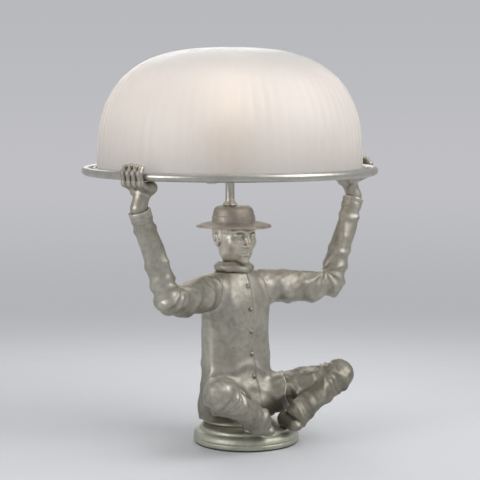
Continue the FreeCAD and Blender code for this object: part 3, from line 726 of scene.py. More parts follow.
def mixStops(z, levels, values):
    # smooth curve through the stops
    z = np.clip(z, levels[0], levels[-1])
    i = np.clip(np.searchsorted(levels, z, side="right") - 1, 0, len(levels) - 2)
    x = np.array(levels, float)
    y = np.array(values, float)
    rise = np.gradient(y, x)
    span = x[i + 1] - x[i]
    t = (z - x[i]) / span
    return ((2 * t ** 3 - 3 * t ** 2 + 1) * y[i] + (t ** 3 - 2 * t ** 2 + t) * span * rise[i]
            + (3 * t ** 2 - 2 * t ** 3) * y[i + 1] + (t ** 3 - t ** 2) * span * rise[i + 1])


def tunicBody(p):
    s = tunicSet
    x = p[:, 0]
    z = p[:, 2]
    middle = mixStops(z, s["levels"], s["middle"])
    wide = mixStops(z, s["levels"], s["wide"])
    deep = mixStops(z, s["levels"], s["deep"])
    y = p[:, 1] - middle
    near = np.sqrt((x / wide) ** 2 + (y / deep) ** 2)
    slope = np.sqrt((x / wide ** 2) ** 2 + (y / deep ** 2) ** 2)
    d = near * (near - 1) / np.maximum(slope, 1e-6)
    d = d / (1 + 0.45 * np.clip((z - 150) / 15, 0, 1))
    # folds that hang from the chest and grow towards the hem
    turn = np.arctan2(y / deep, x / wide)
    low = np.clip((95 - z) / 60, 0, 1)
    fall = s["foldDepth"] * (s["foldShare"] + s["foldGrowth"] * low) * np.clip((165 - z) / 18, 0, 1)
    drift = 0.55 * np.sin(z / 23 + 1.0) + 0.9 * np.sin(turn * 2 + z / 61)
    d = d - fall * (ridge(s["foldCount"] * turn + drift, 2.2) - 0.36) * (0.7 + 0.3 * np.sin(3 * turn + 1.7))
    # slanted folds below the raised arms, and cross folds at the waist
    slant = turn * 5 - np.sign(x) * (z - 110) / 9.0
    pull = np.exp(-((z - 118) / 24) ** 2) * np.exp(-((np.abs(x) - 27) / 13) ** 2)
    d = d - s["pull"] * pull * (ridge(slant, 2.4) - 0.3)
    waist = np.exp(-((z - 68) / 15) ** 2)
    across = ridge(z / 3.6 + 2.4 * np.cos(2 * turn + 0.7) + np.sin(5 * turn), 2.4)
    d = d - s["waist"] * waist * (across - 0.3)
    d = d - s["unevenness"] * sway(p, 21, 3)
    # step of the closing down the front, and the line of the hem
    front = np.clip((-y - 5) / 8, 0, 1)
    step = 1 / (1 + np.exp(np.clip((x - s["placket"]) / 0.3, -40, 40)))
    d = d - s["placketDepth"] * front * step * np.clip((x + 26) / 22, 0, 1) * np.clip((z - 24) / 4, 0, 1)
    return d + s["hemDepth"] * np.exp(-((z - s["hemLevel"]) / 0.55) ** 2)


def unit(a, b):
    way = np.array(b, float) - np.array(a, float)
    return way / np.linalg.norm(way)


def limbAxis(q, a, b):
    # distance along the line from a to b, the offset from that line, and its direction
    way = unit(a, b)
    t = (q - np.array(a, float)) @ way
    return t, q - np.array(a, float) - t[:, None] * way, way


def creaseFan(q, joint, one, two, s, seed):
    # creases that fan out from the inside of a bent joint, calm near the fan's middle
    flat = q - (joint + (one + two) / np.linalg.norm(one + two) * s["fanIn"])
    u = flat @ one
    w = flat @ two
    fan = np.arctan2(u - w, -(u + w) + 4.0)
    far = np.sqrt((flat * flat).sum(1))
    calm = np.clip(np.hypot(u - 2, w - 2) / s["fanCalm"], 0, 1) ** s["fanPower"]
    spread = calm * np.exp(-((far - s["fanFrom"]) / s["fanReach"]) ** 2)
    return s["fanDepth"] * spread * (ridge(fan * 9 + seed + 0.05 * far, 1.7) - 0.4)


sleeveSet = {
    "upper": (13.0, 12.0), "slack": (14.6, 12.6), "lower": (12.4, 9.3), "hang": 1.25, "run": 1.2,
    "loose": 1.5, "bunch": 1.6, "cuff": 0.85, "mouth": (7.7, 9.0),
    "fanIn": 13.0, "fanCalm": 10, "fanPower": 1.5, "fanFrom": 14, "fanReach": 18, "fanDepth": 2.0,
}


def upperArm(q, seed):
    s = sleeveSet
    d = taper(q, fig["shoulder"], fig["elbow"], *s["upper"])
    d = soft(d, taper(q, fig["slackIn"], fig["slackOut"], *s["slack"]), 7)
    t, off, way = limbAxis(q, fig["shoulder"], fig["elbow"])
    side = np.cross(way, (0, 0, 1))
    side /= np.linalg.norm(side)
    turn = np.arctan2(off @ np.cross(side, way), off @ side)
    hang = ridge(t / 3.9 + 2.0 * np.sin(turn + 0.6) + seed, 2.2)
    under = np.clip(0.75 - np.sin(turn), 0.15, 1.5)
    d = d - s["hang"] * under * (hang - 0.35) * np.clip(t / 16, 0, 1)
    d = d - s["run"] * (ridge(3 * turn + t / 20 + seed, 2) - 0.4) * np.clip(t / 20, 0, 1)
    return d - 0.4 * sway(q, 17, 11 + int(seed * 3)) - 0.16 * sway(q, 6.5, 37)


def sleeve(q, seed):
    s = sleeveSet
    elbow = np.array(fig["elbow"], float)
    wrist = np.array(fig["wrist"], float)
    length = np.linalg.norm(wrist - elbow)
    t, off, up = limbAxis(q, elbow, wrist)
    back = unit(elbow, fig["shoulder"])
    d = soft(upperArm(q, seed), taper(q, elbow, wrist + up * 3.0, *s["lower"]), 6)
    d = d - creaseFan(q, elbow, up, back, s, seed)
    turn = np.arctan2(off @ np.cross(up, back), off @ back)
    loose = np.clip((t - 12) / 25, 0, 1) * np.clip((length + 2 - t) / 14, 0.25, 1)
    d = d - s["loose"] * loose * (ridge(3 * turn + t / 15 + 0.8 * np.sin(t / 11 + seed), 2) - 0.4)
    bunch = np.clip(1.1 - np.abs(t - 30) / 22, 0, 1) + np.clip(1 - np.abs(t - length + 15) / 12, 0, 1)
    d = d - s["bunch"] * bunch * (ridge(t / 2.9 + 1.9 * np.sin(turn + seed), 2.6) - 0.3)
    # turned-back cuff with an open mouth
    cuff = np.clip((t - (length - 8)) / 1.2, 0, 1)
    d = d - s["cuff"] * cuff - 0.5 * np.clip((t - (length - 3)) / 6, 0, 1)
    d = d + 0.45 * np.exp(-((t - (length - 1.0)) / 0.5) ** 2)
    d = carve(d, taper(q, wrist - up * 1.0, wrist + up * 9, *s["mouth"]), 0.8)
    return np.maximum(d, t - (length + 3.6))


def armPart(side, seed):
    def form(p):
        q = p * np.array((side, 1, 1))
        d = sleeve(q, seed)
        trunk = tunicBody(p)
        seam = (d - trunk) / 1.5
        whole = soft(d, trunk, 8) + 0.4 * np.exp(-(seam / 0.9) ** 2)
        return np.maximum(whole, seam)
    return form


def around(reach, along, z):
    # place near a hand: out from the lamp's axis, and sideways
    turn = math.atan2(fig["hand"][1], fig["hand"][0])
    out = (math.cos(turn), math.sin(turn))
    return (reach * out[0] - along * out[1], reach * out[1] + along * out[0], z)


handSet = {"fingers": 4, "gap": 6.45, "first": -2.5, "radii": (3.5, 3.35, 3.05, 2.45), "crease": 0.7,
           "knuckles": (3.45, 3.2), "palm": 256.2, "nail": (1.7, 1.9, 2.4), "thumbNail": (1.8, 2.4, 2.0),
           "underRing": 102, "outside": 149.5}


def finger(q, along, tip):
    s = handSet
    level = s["palm"]
    root, first, second, end = s["radii"]
    path = [around(140.5, along * 0.97, level + 1.4), around(147.7, along, level + 4.6),
            around(149.7, along, fig["ringLevel"] + 3.2), around(145.9, along * 0.98, tip)]
    d = taper(q, path[0], path[1], root, first)
    d = soft(d, taper(q, path[1], path[2], first - 0.15, second - 0.1), 0.9)
    d = soft(d, taper(q, path[2], path[3], second - 0.15, end), 0.9)
    for joint, size in zip(path[1:3], s["knuckles"]):
        d = soft(d, ball(q, joint, size), 1.2)
        d = d + 0.22 * np.exp(-((q[:, 2] - joint[2]) / 0.55) ** 2) * (ball(q, joint, 5) < 0)
    return soft(d, egg(q, around(148.4, along * 0.98, tip - 0.3), s["nail"]), 0.25)


def thumb(q):
    level = handSet["palm"]
    d = taper(q, around(130, 10.5, level - 4), around(127.5, 16.5, level + 1.6), 4.8, 3.9)
    d = soft(d, taper(q, around(127.5, 16.8, level + 1.6), around(125.5, 22, level + 3.2), 3.7, 3.0), 1.0)
    return soft(d, egg(q, around(124.6, 23.0, level + 2.2), handSet["thumbNail"]), 0.3)


def handPart(side):
    s = handSet

    def form(p):
        q = p * np.array((side, 1, 1))
        level = s["palm"]
        wrist = np.array(fig["wrist"], float)
        up = unit(fig["elbow"], wrist)
        d = taper(q, wrist - up * 5, wrist + up * 5, 6.7, 6.5)
        d = soft(d, taper(q, wrist + up * 6, around(132.5, -0.5, level - 5), 6.6, 8.2), 6)
        d = soft(d, taper(q, around(129, -8, level), around(139, -9.5, level + 1.5), 6.2, 4.6), 5)
        d = soft(d, taper(q, around(129, 5, level), around(139, 6, level + 1.5), 6.6, 4.6), 5)
        for i in range(s["fingers"]):
            spot = i - 1.5
            tip = fig["ringLevel"] + 10.0 - 1.0 * abs(spot - 0.2)
            d = soft(d, finger(q, s["gap"] * spot + s["first"], tip), s["crease"])
        d = soft(d, thumb(q), 2.2)
        # room for the ring
        reach = np.sqrt(q[:, 0] ** 2 + q[:, 1] ** 2)
        under = np.maximum(reach - fig["ringReach"], s["underRing"] - reach)
        d = np.maximum(d, -np.maximum(under, fig["ringLow"] - q[:, 2]))
        bead = hoop(q, (0, 0, fig["ringLevel"]), fig["ringReach"], fig["ringBead"] + 0.1)
        return np.maximum(np.maximum(d, -bead), q[:, 0] - s["outside"])
    return form


shoeSet = {"upper": (7.8, 5.6), "toe": (7.4, 8.6, 4.6), "toeLevel": 21.4, "sole": (8.5, 7.2), "soleTop": 19.8,
           "welt": 20.1, "seam": 10.5, "seamLevel": 31.0}


def slipper(q):
    # soft shoe with a sole and a seam round the toe
    s = shoeSet
    x, y, _ = fig["toe"]
    d = taper(q, fig["heel"], fig["toe"], *s["upper"])
    d = soft(d, egg(q, (x, y + 1.0, s["toeLevel"]), s["toe"]), 3)
    sole = np.maximum(taper(q, fig["heel"], fig["toe"], *s["sole"]), q[:, 2] - s["soleTop"])
    d = np.minimum(d + 0.4 * np.exp(-((q[:, 2] - s["welt"]) / 0.35) ** 2), sole)
    seam = ball(q, (x, y + 9, s["seamLevel"]), s["seam"])
    return d + 0.35 * np.exp(-(seam / 0.5) ** 2) * (q[:, 2] > 21)


legSet = {
    "thigh": (17.4, 12.6), "shank": (12.3, 12.2), "slack": (12.8, 11.0), "across": 1.7, "stack": 1.7,
    "run": 1.5, "hem": 7.0,
    "fanIn": 10.0, "fanCalm": 14, "fanPower": 2, "fanFrom": 16, "fanReach": 19, "fanDepth": 2.0,
}


def legPart(side, seed):
    s = legSet

    def form(p):
        q = p * np.array((side, 1, 1))
        hip = np.array(fig["hip"], float)
        knee = np.array(fig["knee"], float)
        ankle = np.array(fig["ankle"], float)
        d = taper(q, hip, knee, *s["thigh"])
        d = soft(d, taper(q, knee, ankle, *s["shank"]), 7)
        d = soft(d, taper(q, fig["lapIn"], fig["lapOut"], *s["slack"]), 9)
        # creases behind the knee, over the thigh and stacked above the foot
        t, off, fore = limbAxis(q, hip, knee)
        v, shankOff, down = limbAxis(q, knee, ankle)
        d = d - creaseFan(q, knee, down, -fore, s, seed)
        turn = np.arctan2(off[:, 2], off @ np.cross(fore, (0, 0, 1)))
        over = ridge(t / 4.2 + 2.2 * np.sin(turn + seed), 2.6) - 0.3
        d = d - s["across"] * over * np.clip((t - 32) / 14, 0, 1) * np.clip((84 - t) / 16, 0, 1)
        shankTurn = np.arctan2(shankOff @ np.cross(down, (0, 0, 1)), shankOff[:, 2])
        length = np.linalg.norm(ankle - knee)
        stack = np.exp(-((v - length + 3) / 17) ** 2)
        d = d - s["stack"] * stack * (ridge(v / 2.5 + 1.6 * np.sin(shankTurn + seed), 2.2) - 0.4)
        run = ridge(3 * shankTurn + v / 13 + seed, 2) - 0.4
        d = d - s["run"] * (1 - stack) * run * np.clip(v / 14, 0, 1)
        d = d - 0.45 * sway(q, 17, 23 + int(seed * 2)) - 0.2 * sway(q, 6.5, 31)
        d = np.maximum(d, (q - ankle) @ down - s["hem"] + 0.6 * np.sin(3 * shankTurn))
        d = np.maximum(d, fig["baseTop"] - q[:, 2] + 0.4)
        d = soft(d, slipper(q), 1.0)
        return np.maximum(d, fig["baseTop"] + 0.02 - q[:, 2])
    return form


lapSet = {"length": 60, "body": (19.6, 14.6), "slack": (15.4, 12.6), "across": 1.2, "drape": 2.6, "hem": 33.0,
          "edge": 35.0, "low": 27.0}


def lap(q, side):
    # tunic drawn over a thigh, with a draped hem
    s = lapSet
    t, off, way = limbAxis(q, fig["hip"], fig["knee"])
    end = np.array(fig["hip"], float) + way * s["length"]
    d = taper(q, fig["hip"], end, *s["body"])
    d = soft(d, taper(q, fig["lapIn"], fig["lapOut"], *s["slack"]), 9)
    across = ridge(t / 3.9 + side + 1.9 * np.sin(q[:, 2] / 8), 2.2)
    d = d - s["across"] * (across - 0.35) * np.clip((40 - t) / 12, 0.25, 1)
    turn = np.arctan2(off[:, 2], off @ np.cross(way, (0, 0, 1)))
    drape = ridge(6 * turn + side + 0.8 * np.sin(3 * turn), 1.5)
    d = d - s["drape"] * np.clip((t - 6) / 28, 0, 1) * (drape - 0.45)
    d = d + 0.4 * np.exp(-((t - s["hem"]) / 0.5) ** 2)
    d = np.maximum(d, t - s["edge"] - 2.0 * np.sin(2 * turn + 0.6) - 0.6 * np.sin(5 * turn))
    return np.maximum(d, s["low"] - q[:, 2])


def torsoPart(p):
    s = tunicSet
    d = tunicBody(p)
    arms = np.minimum(*[upperArm(p * np.array((side, 1, 1)), seed) for _, side, seed in sides])
    for _, side, _ in sides:
        d = soft(d, lap(p * np.array((side, 1, 1)), side), 7)
    levels = np.array(s["buttons"], float)
    front = mixStops(levels, s["levels"], s["deep"])
    centre = mixStops(levels, s["levels"], s["middle"])
    for z, deep, middle in zip(s["buttons"], front, centre):
        y = middle - deep * math.sqrt(1 - (0.8 / 38) ** 2) - 0.9
        d = soft(d, egg(p, (0.8, y, z), (s["buttonSize"], 1.5, s["buttonSize"])), 0.35)
    seam = (d - arms) / 1.5
    whole = soft(d, arms, 8) + 0.4 * np.exp(-(seam / 0.9) ** 2)
    d = np.maximum(whole, seam)
    d = np.maximum(d, p[:, 2] - s["top"])
    return np.maximum(d, s["low"] - p[:, 2])


collarSet = {"y": -6, "level": 171.0, "radius": 15.6, "size": 4.3, "upLevel": 174.6, "upRadius": 14.0,
             "upSize": 2.4, "fold": 0.55, "low": 167.02}


def collarPart(p):
    s = collarSet
    turn = np.arctan2(p[:, 1] - s["y"], p[:, 0])
    q = p.copy()
    q[:, 2] -= 0.7 * np.sin(2 * turn + 0.9) + 0.35 * np.sin(5 * turn)
    d = hoop(q, (0, s["y"], s["level"]), s["radius"], s["size"])
    d = soft(d, hoop(q, (0, s["y"], s["upLevel"]), s["upRadius"], s["upSize"]), 1.2)
    lean = (q[:, 2] - 172) / 5
    d = d - s["fold"] * (ridge(7 * turn + 2.2 * lean + np.sin(2 * turn), 2) - 0.4)
    return np.maximum(d, s["low"] - p[:, 2])


# Head: one half is formed and mirrored; y is given from the middle of the head

headSet = {"centre": (0, -6, 206), "halves": (19.0, 22.5, 26.0), "jaw": (14.2, 14.0, 15.6), "chin": 4.4,
           "jawCorner": 4.6, "cheek": 4.8, "neck": (11.6, 10.8), "eyeLevel": 203.6, "eyeOut": 7.7,
           "eyeRadius": 4.1, "lidRadius": 4.75, "noseLow": 192.5, "mouthLevel": 186.3, "hatSeat": 214.0,
           "neckLow": 167.0}


def skullForm(q, skull, cy):
    s = headSet
    d = soft(skull, egg(q, (0, cy - 7.0, 191.0), s["jaw"]), 7)
    d = soft(d, ball(q, (0, cy - 17.2, 179.8), s["chin"]), 6)
    d = soft(d, ball(q, (11.3, cy - 1.5, 185.0), s["jawCorner"]), 8)
    d = soft(d, ball(q, (11.2, cy - 13.6, 196.6), s["cheek"]), 5)
    return soft(d, taper(q, (0, cy, 163), (0, cy + 0.5, 190), *s["neck"]), 4)


def withEyes(d, q, cy):
    # brow, sockets, eyeballs and lids
    s = headSet
    eye = (s["eyeOut"], cy - 17.6, s["eyeLevel"])
    brow = taper(q, (2.6, cy - 21.4, 207.6), (8.0, cy - 20.2, 209.4), 1.6, 1.5)
    brow = soft(brow, taper(q, (8.0, cy - 20.2, 209.4), (13.2, cy - 15.6, 207.6), 1.5, 1.1), 2)
    d = carve(d, egg(q, (eye[0], cy - 23.6, eye[2] - 0.2), (5.4, 4.4, 4.2)), 3.0)
    d = soft(d, brow, 2.4)
    d = soft(d, ball(q, eye, s["eyeRadius"]), 0.3)
    lids = ball(q, eye, s["lidRadius"])
    bow = (q[:, 0] - eye[0]) ** 2
    upper = np.maximum(lids, -(q[:, 2] - eye[2] + 0.4 - 0.02 * bow))
    lower = np.maximum(lids + 0.2, q[:, 2] - eye[2] + 1.9 - 0.03 * bow)
    return soft(soft(d, upper, 0.35), lower, 0.5)


def withNose(d, q, cy):
    low = headSet["noseLow"]
    nose = taper(q, (0, cy - 20.8, 206.2), (0, cy - 24.8, low + 2.0), 1.9, 2.3)
    nose = soft(nose, ball(q, (0, cy - 25.4, low + 1.3), 2.5), 1.6)
    nose = soft(nose, ball(q, (3.1, cy - 22.6, low + 0.8), 1.9), 1.4)
    d = soft(d, nose, 1.9)
    return carve(d, egg(q, (1.5, cy - 24.4, low - 1.1), (0.8, 1.2, 0.9)), 0.5)


def withMouth(d, q, cy):
    # lips, the line between them with its corners, and the hollows above and below
    m = headSet["mouthLevel"]
    d = soft(d, egg(q, (0, cy - 19.0, m + 0.2), (7.5, 4.4, 5.2)), 3)
    d = soft(d, taper(q, (1.2, cy - 23.5, m + 1.1), (5.6, cy - 21.3, m + 0.2), 1.15, 0.55), 0.7)
    d = soft(d, taper(q, (0, cy - 23.3, m - 1.3), (4.8, cy - 21.5, m - 0.3), 1.35, 0.6), 0.8)
    d = carve(d, taper(q, (0, cy - 24.6, m - 0.05), (6.2, cy - 21.6, m + 0.1), 0.35, 0.3), 0.4)
    d = carve(d, ball(q, (6.9, cy - 21.8, m + 0.1), 0.8), 1.2)
    d = carve(d, taper(q, (0, cy - 24.4, m + 4.6), (0, cy - 24.3, m + 2.4), 0.6, 0.7), 0.9)
    return carve(d, taper(q, (0, cy - 23.8, m - 4.3), (3.2, cy - 22.6, m - 4.0), 1.0, 0.8), 1.6)


def withEar(d, q, cy):
    ear = egg(q, (18.7, cy + 2.0, 199.5), (2.3, 4.3, 6.6), 8)
    ear = carve(ear, egg(q, (20.6, cy + 1.3, 200.2), (1.6, 2.5, 4.3), 8), 0.7)
    ear = soft(ear, ball(q, (19.3, cy - 0.6, 199.2), 1.3), 1.0)
    return soft(d, ear, 0.9)


def hairDepth(q, skull, cy):
    # short hair combed back, with a soft edge
    line = np.clip((q[:, 1] - (cy + 1.0) - 0.12 * (q[:, 2] - 200)) / 1.2, 0, 1)
    nape = np.clip((q[:, 2] - 188.5 - 0.04 * q[:, 0] ** 2) / 1.2, 0, 1)
    temple = np.clip((q[:, 2] - 205.5) / 1.2, 0, 1) * np.clip((q[:, 1] - (cy - 13.5)) / 1.5, 0, 1)
    sideburn = np.clip((q[:, 2] - 196) / 1.2, 0, 1) * np.clip((q[:, 1] - (cy - 5.5)) / 1.0, 0, 1)
    cover = np.maximum(np.maximum(line * nape, temple), sideburn) * (skull < 3)
    comb = np.arctan2(q[:, 0], q[:, 1] - cy) * 42 + 0.35 * q[:, 2] + 0.8 * np.sin(q[:, 2] / 4)
    return cover * (0.75 + 0.42 * ridge(comb, 1.4))


def headPart(p):
    s = headSet
    cy = s["centre"][1]
    q = p.copy()
    q[:, 0] = np.abs(q[:, 0])
    skull = egg(q, s["centre"], s["halves"])
    d = skullForm(q, skull, cy)
    d = withEyes(d, q, cy)
    d = withNose(d, q, cy)
    d = withMouth(d, q, cy)
    d = withEar(d, q, cy) - hairDepth(q, skull, cy)
    d = np.maximum(d, q[:, 2] - s["hatSeat"] - 2)
    return np.maximum(d, s["neckLow"] + 0.02 - q[:, 2])


def boxOf(node, grow=2.0):
    low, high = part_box(node)
    return np.array(low) / mm - grow, np.array(high) / mm + grow


torsoLow, torsoHigh = boxOf("torso_casting", 5.0)
torsoLow -= (20, 26, 0)
torsoHigh += (20, 0, 0)
torso = sculpt("torso_tunic", torsoPart, torsoLow, torsoHigh, fig["bodyStep"])
place(torso, "castCloth", "casting", replaces=["torso_casting"])
collar = sculpt("neck_collar", collarPart, *boxOf("collar"), fig["collarStep"])
place(collar, "castCloth", "casting", replaces=["collar"])
head = sculpt("head_and_neck", headPart, *boxOf("head_casting", 3.0), fig["headStep"])
place(head, "castSkin", "casting", replaces=["head_casting"])
for label, side, seed in sides:
    low, high = boxOf(label + "_arm")
    sleeveHigh = (high[0], high[1], fig["cuffTop"])
    arm = sculpt(label + "_sleeve", armPart(side, seed), low, sleeveHigh, fig["limbStep"])
    place(arm, "castCloth", "casting", replaces=[label + "_arm"])
    handLow = (low[0] if side < 0 else fig["handIn"], low[1], fig["handLow"])
    handHigh = (-fig["handIn"] if side < 0 else high[0], high[1] + 2, high[2])
    hand = sculpt(label + "_hand", handPart(side), handLow, handHigh, fig["handStep"])
    place(hand, "castHand", "casting", replaces=[label + "_arm"])
    low, high = boxOf(label + "_leg", 7.0)
    leg = sculpt(label + "_trouser_leg", legPart(side, seed + 0.8), low, high, fig["limbStep"])
    # the two trouser legs take a lighter and a darker copy of one finish; the darker one is painted shade
    place(leg, "castTrouser" if side > 0 else "castShin", "casting", replaces=[label + "_leg"])
print("stage: figure")


# Stem: one turned tube with a bead at each end

stemSet = {"bore": 4.05, "groove": 0.2, "edge": 0.3, "bead": 2.0, "neck": 2.4}


def makeStem(s):
    low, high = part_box("stem_sleeve")
    bottom = low[2] / mm
    top = high[2] / mm
    reach = (high[0] - low[0]) / 2 / mm
    inner = reach - s["groove"]
    edge = s["edge"]
    outline = [(s["bore"], bottom), (reach - edge, bottom), (reach, bottom + edge),
               (reach, bottom + s["bead"]), (inner, bottom + s["neck"]), (inner, top - s["neck"]),
               (reach, top - s["bead"]), (reach, top - edge), (reach - edge, top), (s["bore"], top)]
    return lathe("turned_stem", outline, segments=96)


place(makeStem(stemSet), "turnedMetal", "turned_metal", replaces=["stem_sleeve"])
print("stage: stem")


# Hat: turned form, bent brim and dented crown; its outline is (radius, height over the seat, rounding)

hatSet = {
    "centre": headSet["centre"][:2], "seat": headSet["hatSeat"], "wave": 0.7, "bendFrom": 22, "bendReach": 15,
    "dent": 1.3, "crownReach": 21.5,
    "outline": (
        (0, -0.6, 0), (19.5, -0.2, 0.5), (30, -0.9, 2), (35.5, -2.2, 1), (36.8, -2.6, 0.6),
        (37.5, -1.5, 0.7), (36.6, -0.5, 0.6), (30, 1.0, 2), (23.2, 2.0, 1.0), (21.6, 2.6, 0.6),
        (21.3, 3.3, 0.4), (21.5, 4.0, 0.3), (21.3, 8.2, 0.3), (20.7, 8.6, 0.3), (20.3, 12, 1),
        (19.0, 15.6, 1.6), (15.8, 17.8, 1.6), (12.5, 17.4, 1.5), (7.5, 17.0, 1), (0, 17.0, 0)),
}


def brimWave(reach, turns):
    s = hatSet
    out = np.clip((reach - s["bendFrom"]) / s["bendReach"], 0, 1)
    return s["wave"] * out ** 2 * (np.sin(2 * turns + 0.5) - 0.4) * 0.8


def hatShape(r, z, turns):
    s = hatSet
    crown = np.clip((z + brimWave(r, turns) - s["seat"] - 8) / 9, 0, 1) * (r < s["crownReach"])
    pinch = 0
    for lean in (-0.5, 0.5):
        pinch = pinch + np.exp(-((np.cos(turns + math.pi / 2 + lean) - 1) / 0.16) ** 2)
    return r - s["dent"] * crown * pinch * np.clip(r / 15, 0, 1), z + brimWave(r, turns)


def makeHat(s):
    outline = softened([(r, s["seat"] + rise, size) for r, rise, size in s["outline"]], closed=False)
    return lathe("brimmed_hat", outline, s["centre"], 224, closed=False, shape=hatShape, angle=50)


place(makeHat(hatSet), "castHat", "casting", replaces=["hat_casting"])


# Foot and seat, turned, with the inlet cut through at the back; the moulding is measured inwards from the
# foot's side and down from its top, the rim inwards and up from its felt, the seat up from the foot's top

footSet = {
    "radius": 52.0, "height": fig["baseTop"], "offset": 26.0, "felt": 1.5, "wall": 9.0, "plate": 3.5,
    "moulding": ((9.5, 0, 0.6), (7.6, 0.4, 0.6), (6.6, 1.4, 0.6), (6.4, 3.0, 0.5), (5.2, 3.9, 0.5),
                 (3.0, 4.6, 1.2), (1.2, 6.2, 1.2), (0.3, 8.4, 1.0), (0, 10.2, 0.6), (0.5, 10.9, 0.3),
                 (0.5, 11.5, 0.3), (0, 12.1, 0.4)),
    "rim": ((0, 0.6, 0.4), (0.5, 0, 0.3), (6, 0, 0.2), (6, 1.0, 0.1), (9, 1.0, 0.3)),
    "inletLevel": 8.0, "inletRadius": 3.6, "inletFlat": (12, 8, 9), "inletIn": 1.6,
}
seatSet = {
    "y": -10.0, "outline": (
        (0, 0, 0), (31.2, 0, 0.3), (32.6, 0.8, 0.5), (33.0, 1.8, 0.5), (32.3, 3.0, 0.6), (33.0, 3.9, 0.5),
        (32.4, 4.8, 0.5), (31.0, 5.0, 0.4), (0, 5.0, 0)),
}


def cutWith(piece, cutters):
    for cutter in cutters:
        change = piece.modifiers.new("cut", "BOOLEAN")
        change.object = cutter
        change.operation = "DIFFERENCE"
        change.solver = "EXACT"
    mesh = bpy.data.meshes.new_from_object(piece.evaluated_get(bpy.context.evaluated_depsgraph_get()))
    piece.modifiers.clear()
    piece.data = mesh
    for cutter in cutters:
        bpy.data.objects.remove(cutter)
    smoothed(mesh, 35)


def makeFoot(s):
    r = s["radius"]
    top = s["height"]
    outline = [(0, top, 0)]
    outline += [(r - inward, top - down, size) for inward, down, size in s["moulding"]]
    outline += [(r - inward, s["felt"] + up, size) for inward, up, size in s["rim"]]
    outline += [(r - s["wall"], top - s["plate"], 0.5), (0, top - s["plate"], 0)]
    foot = lathe("foot_casting", softened(outline, closed=False), (0, -s["offset"]), 256, closed=False)
    back = r - s["offset"]
    level = s["inletLevel"] * mm
    bpy.ops.mesh.primitive_cylinder_add(vertices=48, radius=s["inletRadius"] * mm, depth=20 * mm,
                                        location=(0, (back - 6) * mm, level), rotation=(math.pi / 2, 0, 0))
    hole = bpy.context.object
    width, depth, height = s["inletFlat"]
    bpy.ops.mesh.primitive_cube_add(size=1, location=(0, (back - s["inletIn"] + depth / 2) * mm, level))
    flat = bpy.context.object
    flat.scale = (width * mm, depth * mm, height * mm)
    cutWith(foot, [hole, flat])
    return foot


place(makeFoot(footSet), "castBase", "casting", replaces=["base_casting"])
seatOutline = softened([(r, footSet["height"] + rise, size) for r, rise, size in seatSet["outline"]],
                       closed=False)
seat = lathe("round_seat", seatOutline, (0, seatSet["y"]), 192, closed=False)
place(seat, "castBase", "casting", replaces=["seat_block"])


# Ring with a rolled bead, ledge and upstand

ringSet = {"bore": 122.0, "low": fig["ringLow"], "level": fig["ringLevel"], "ledge": 266.0,
           "reach": fig["ringReach"], "bead": fig["ringBead"], "beadEnd": 137.6, "beadSteps": 24,
           "upIn": 132.6, "upOut": 135.0, "upTop": 270.5, "edge": 0.4, "corner": 0.3}


def makeRing(s):
    bore, low, ledge, top = s["bore"], s["low"], s["ledge"], s["upTop"]
    near, far, edge, corner = s["upIn"], s["upOut"], s["edge"], s["corner"]
    outline = [(bore, low + edge), (bore + edge, low)]
    for i in range(s["beadSteps"] + 1):
        turn = math.radians(-90 + 250 * i / s["beadSteps"])
        outline.append((s["reach"] + s["bead"] * math.cos(turn), s["level"] + s["bead"] * math.sin(turn)))
    outline += [(s["beadEnd"], ledge), (far + corner, ledge), (far, ledge + edge), (far, top - edge),
                (far - edge, top), (near + edge, top), (near, top - edge), (near, ledge + corner),
                (near - corner, ledge), (bore + edge, ledge), (bore, ledge - edge)]
    return lathe("beaded_ring", outline, (0, 0), 320)


place(makeRing(ringSet), "ringMetal", "ring", replaces=["shade_ring"])
print("stage: hat, foot, seat and ring")


# Geometry Nodes helpers

def newTree(name, sizes):
    # a tree with one named input for each size, and one for the finish
    tree = bpy.data.node_groups.new(name, "GeometryNodeTree")
    face = tree.interface
    face.new_socket("Geometry", in_out="INPUT", socket_type="NodeSocketGeometry")
    ids = {}
    for label, value in sizes.items():
        kind = "NodeSocketInt" if isinstance(value, int) else "NodeSocketFloat"
        socket = face.new_socket(label, in_out="INPUT", socket_type=kind)
        socket.default_value = value
        ids[label] = socket.identifier
    ids["Finish"] = face.new_socket("Finish", in_out="INPUT", socket_type="NodeSocketMaterial").identifier
    face.new_socket("Geometry", in_out="OUTPUT", socket_type="NodeSocketGeometry")
    return tree, addNode(tree, "NodeGroupInput").outputs, addNode(tree, "NodeGroupOutput").inputs, ids


def endTree(tree, geometry, given, result):
    real = addNode(tree, "GeometryNodeRealizeInstances", {0: geometry}).outputs[0]
    painted = addNode(tree, "GeometryNodeSetMaterial", {"Geometry": real, "Material": given["Finish"]})
    tree.links.new(painted.outputs[0], result[0])


def vectorOf(tree, parts):
    return addNode(tree, "ShaderNodeCombineXYZ", parts).outputs[0]


def shifted(tree, geometry, parts):
    inputs = {"Geometry": geometry, "Translation": vectorOf(tree, parts)}
    return addNode(tree, "GeometryNodeTransform", inputs).outputs[0]


def grown(name, tree, ids, values, points=((0, 0, 0),), angle=None):
    # the tree's result on a carrier of points, as a plain mesh
    mesh = bpy.data.meshes.new(name + "Carrier")
    mesh.from_pydata(points, [], [])
    piece = bpy.data.objects.new(name, mesh)
    scene.collection.objects.link(piece)
    change = piece.modifiers.new("grow", "NODES")
    change.node_group = tree
    for label, value in values.items():
        change[ids[label]] = value
    made = bpy.data.meshes.new_from_object(piece.evaluated_get(bpy.context.evaluated_depsgraph_get()))
    piece.modifiers.clear()
    piece.data = made
    smoothed(made, angle)
    return piece


# Dome: superellipse profile, shallow flutes that fade towards the top

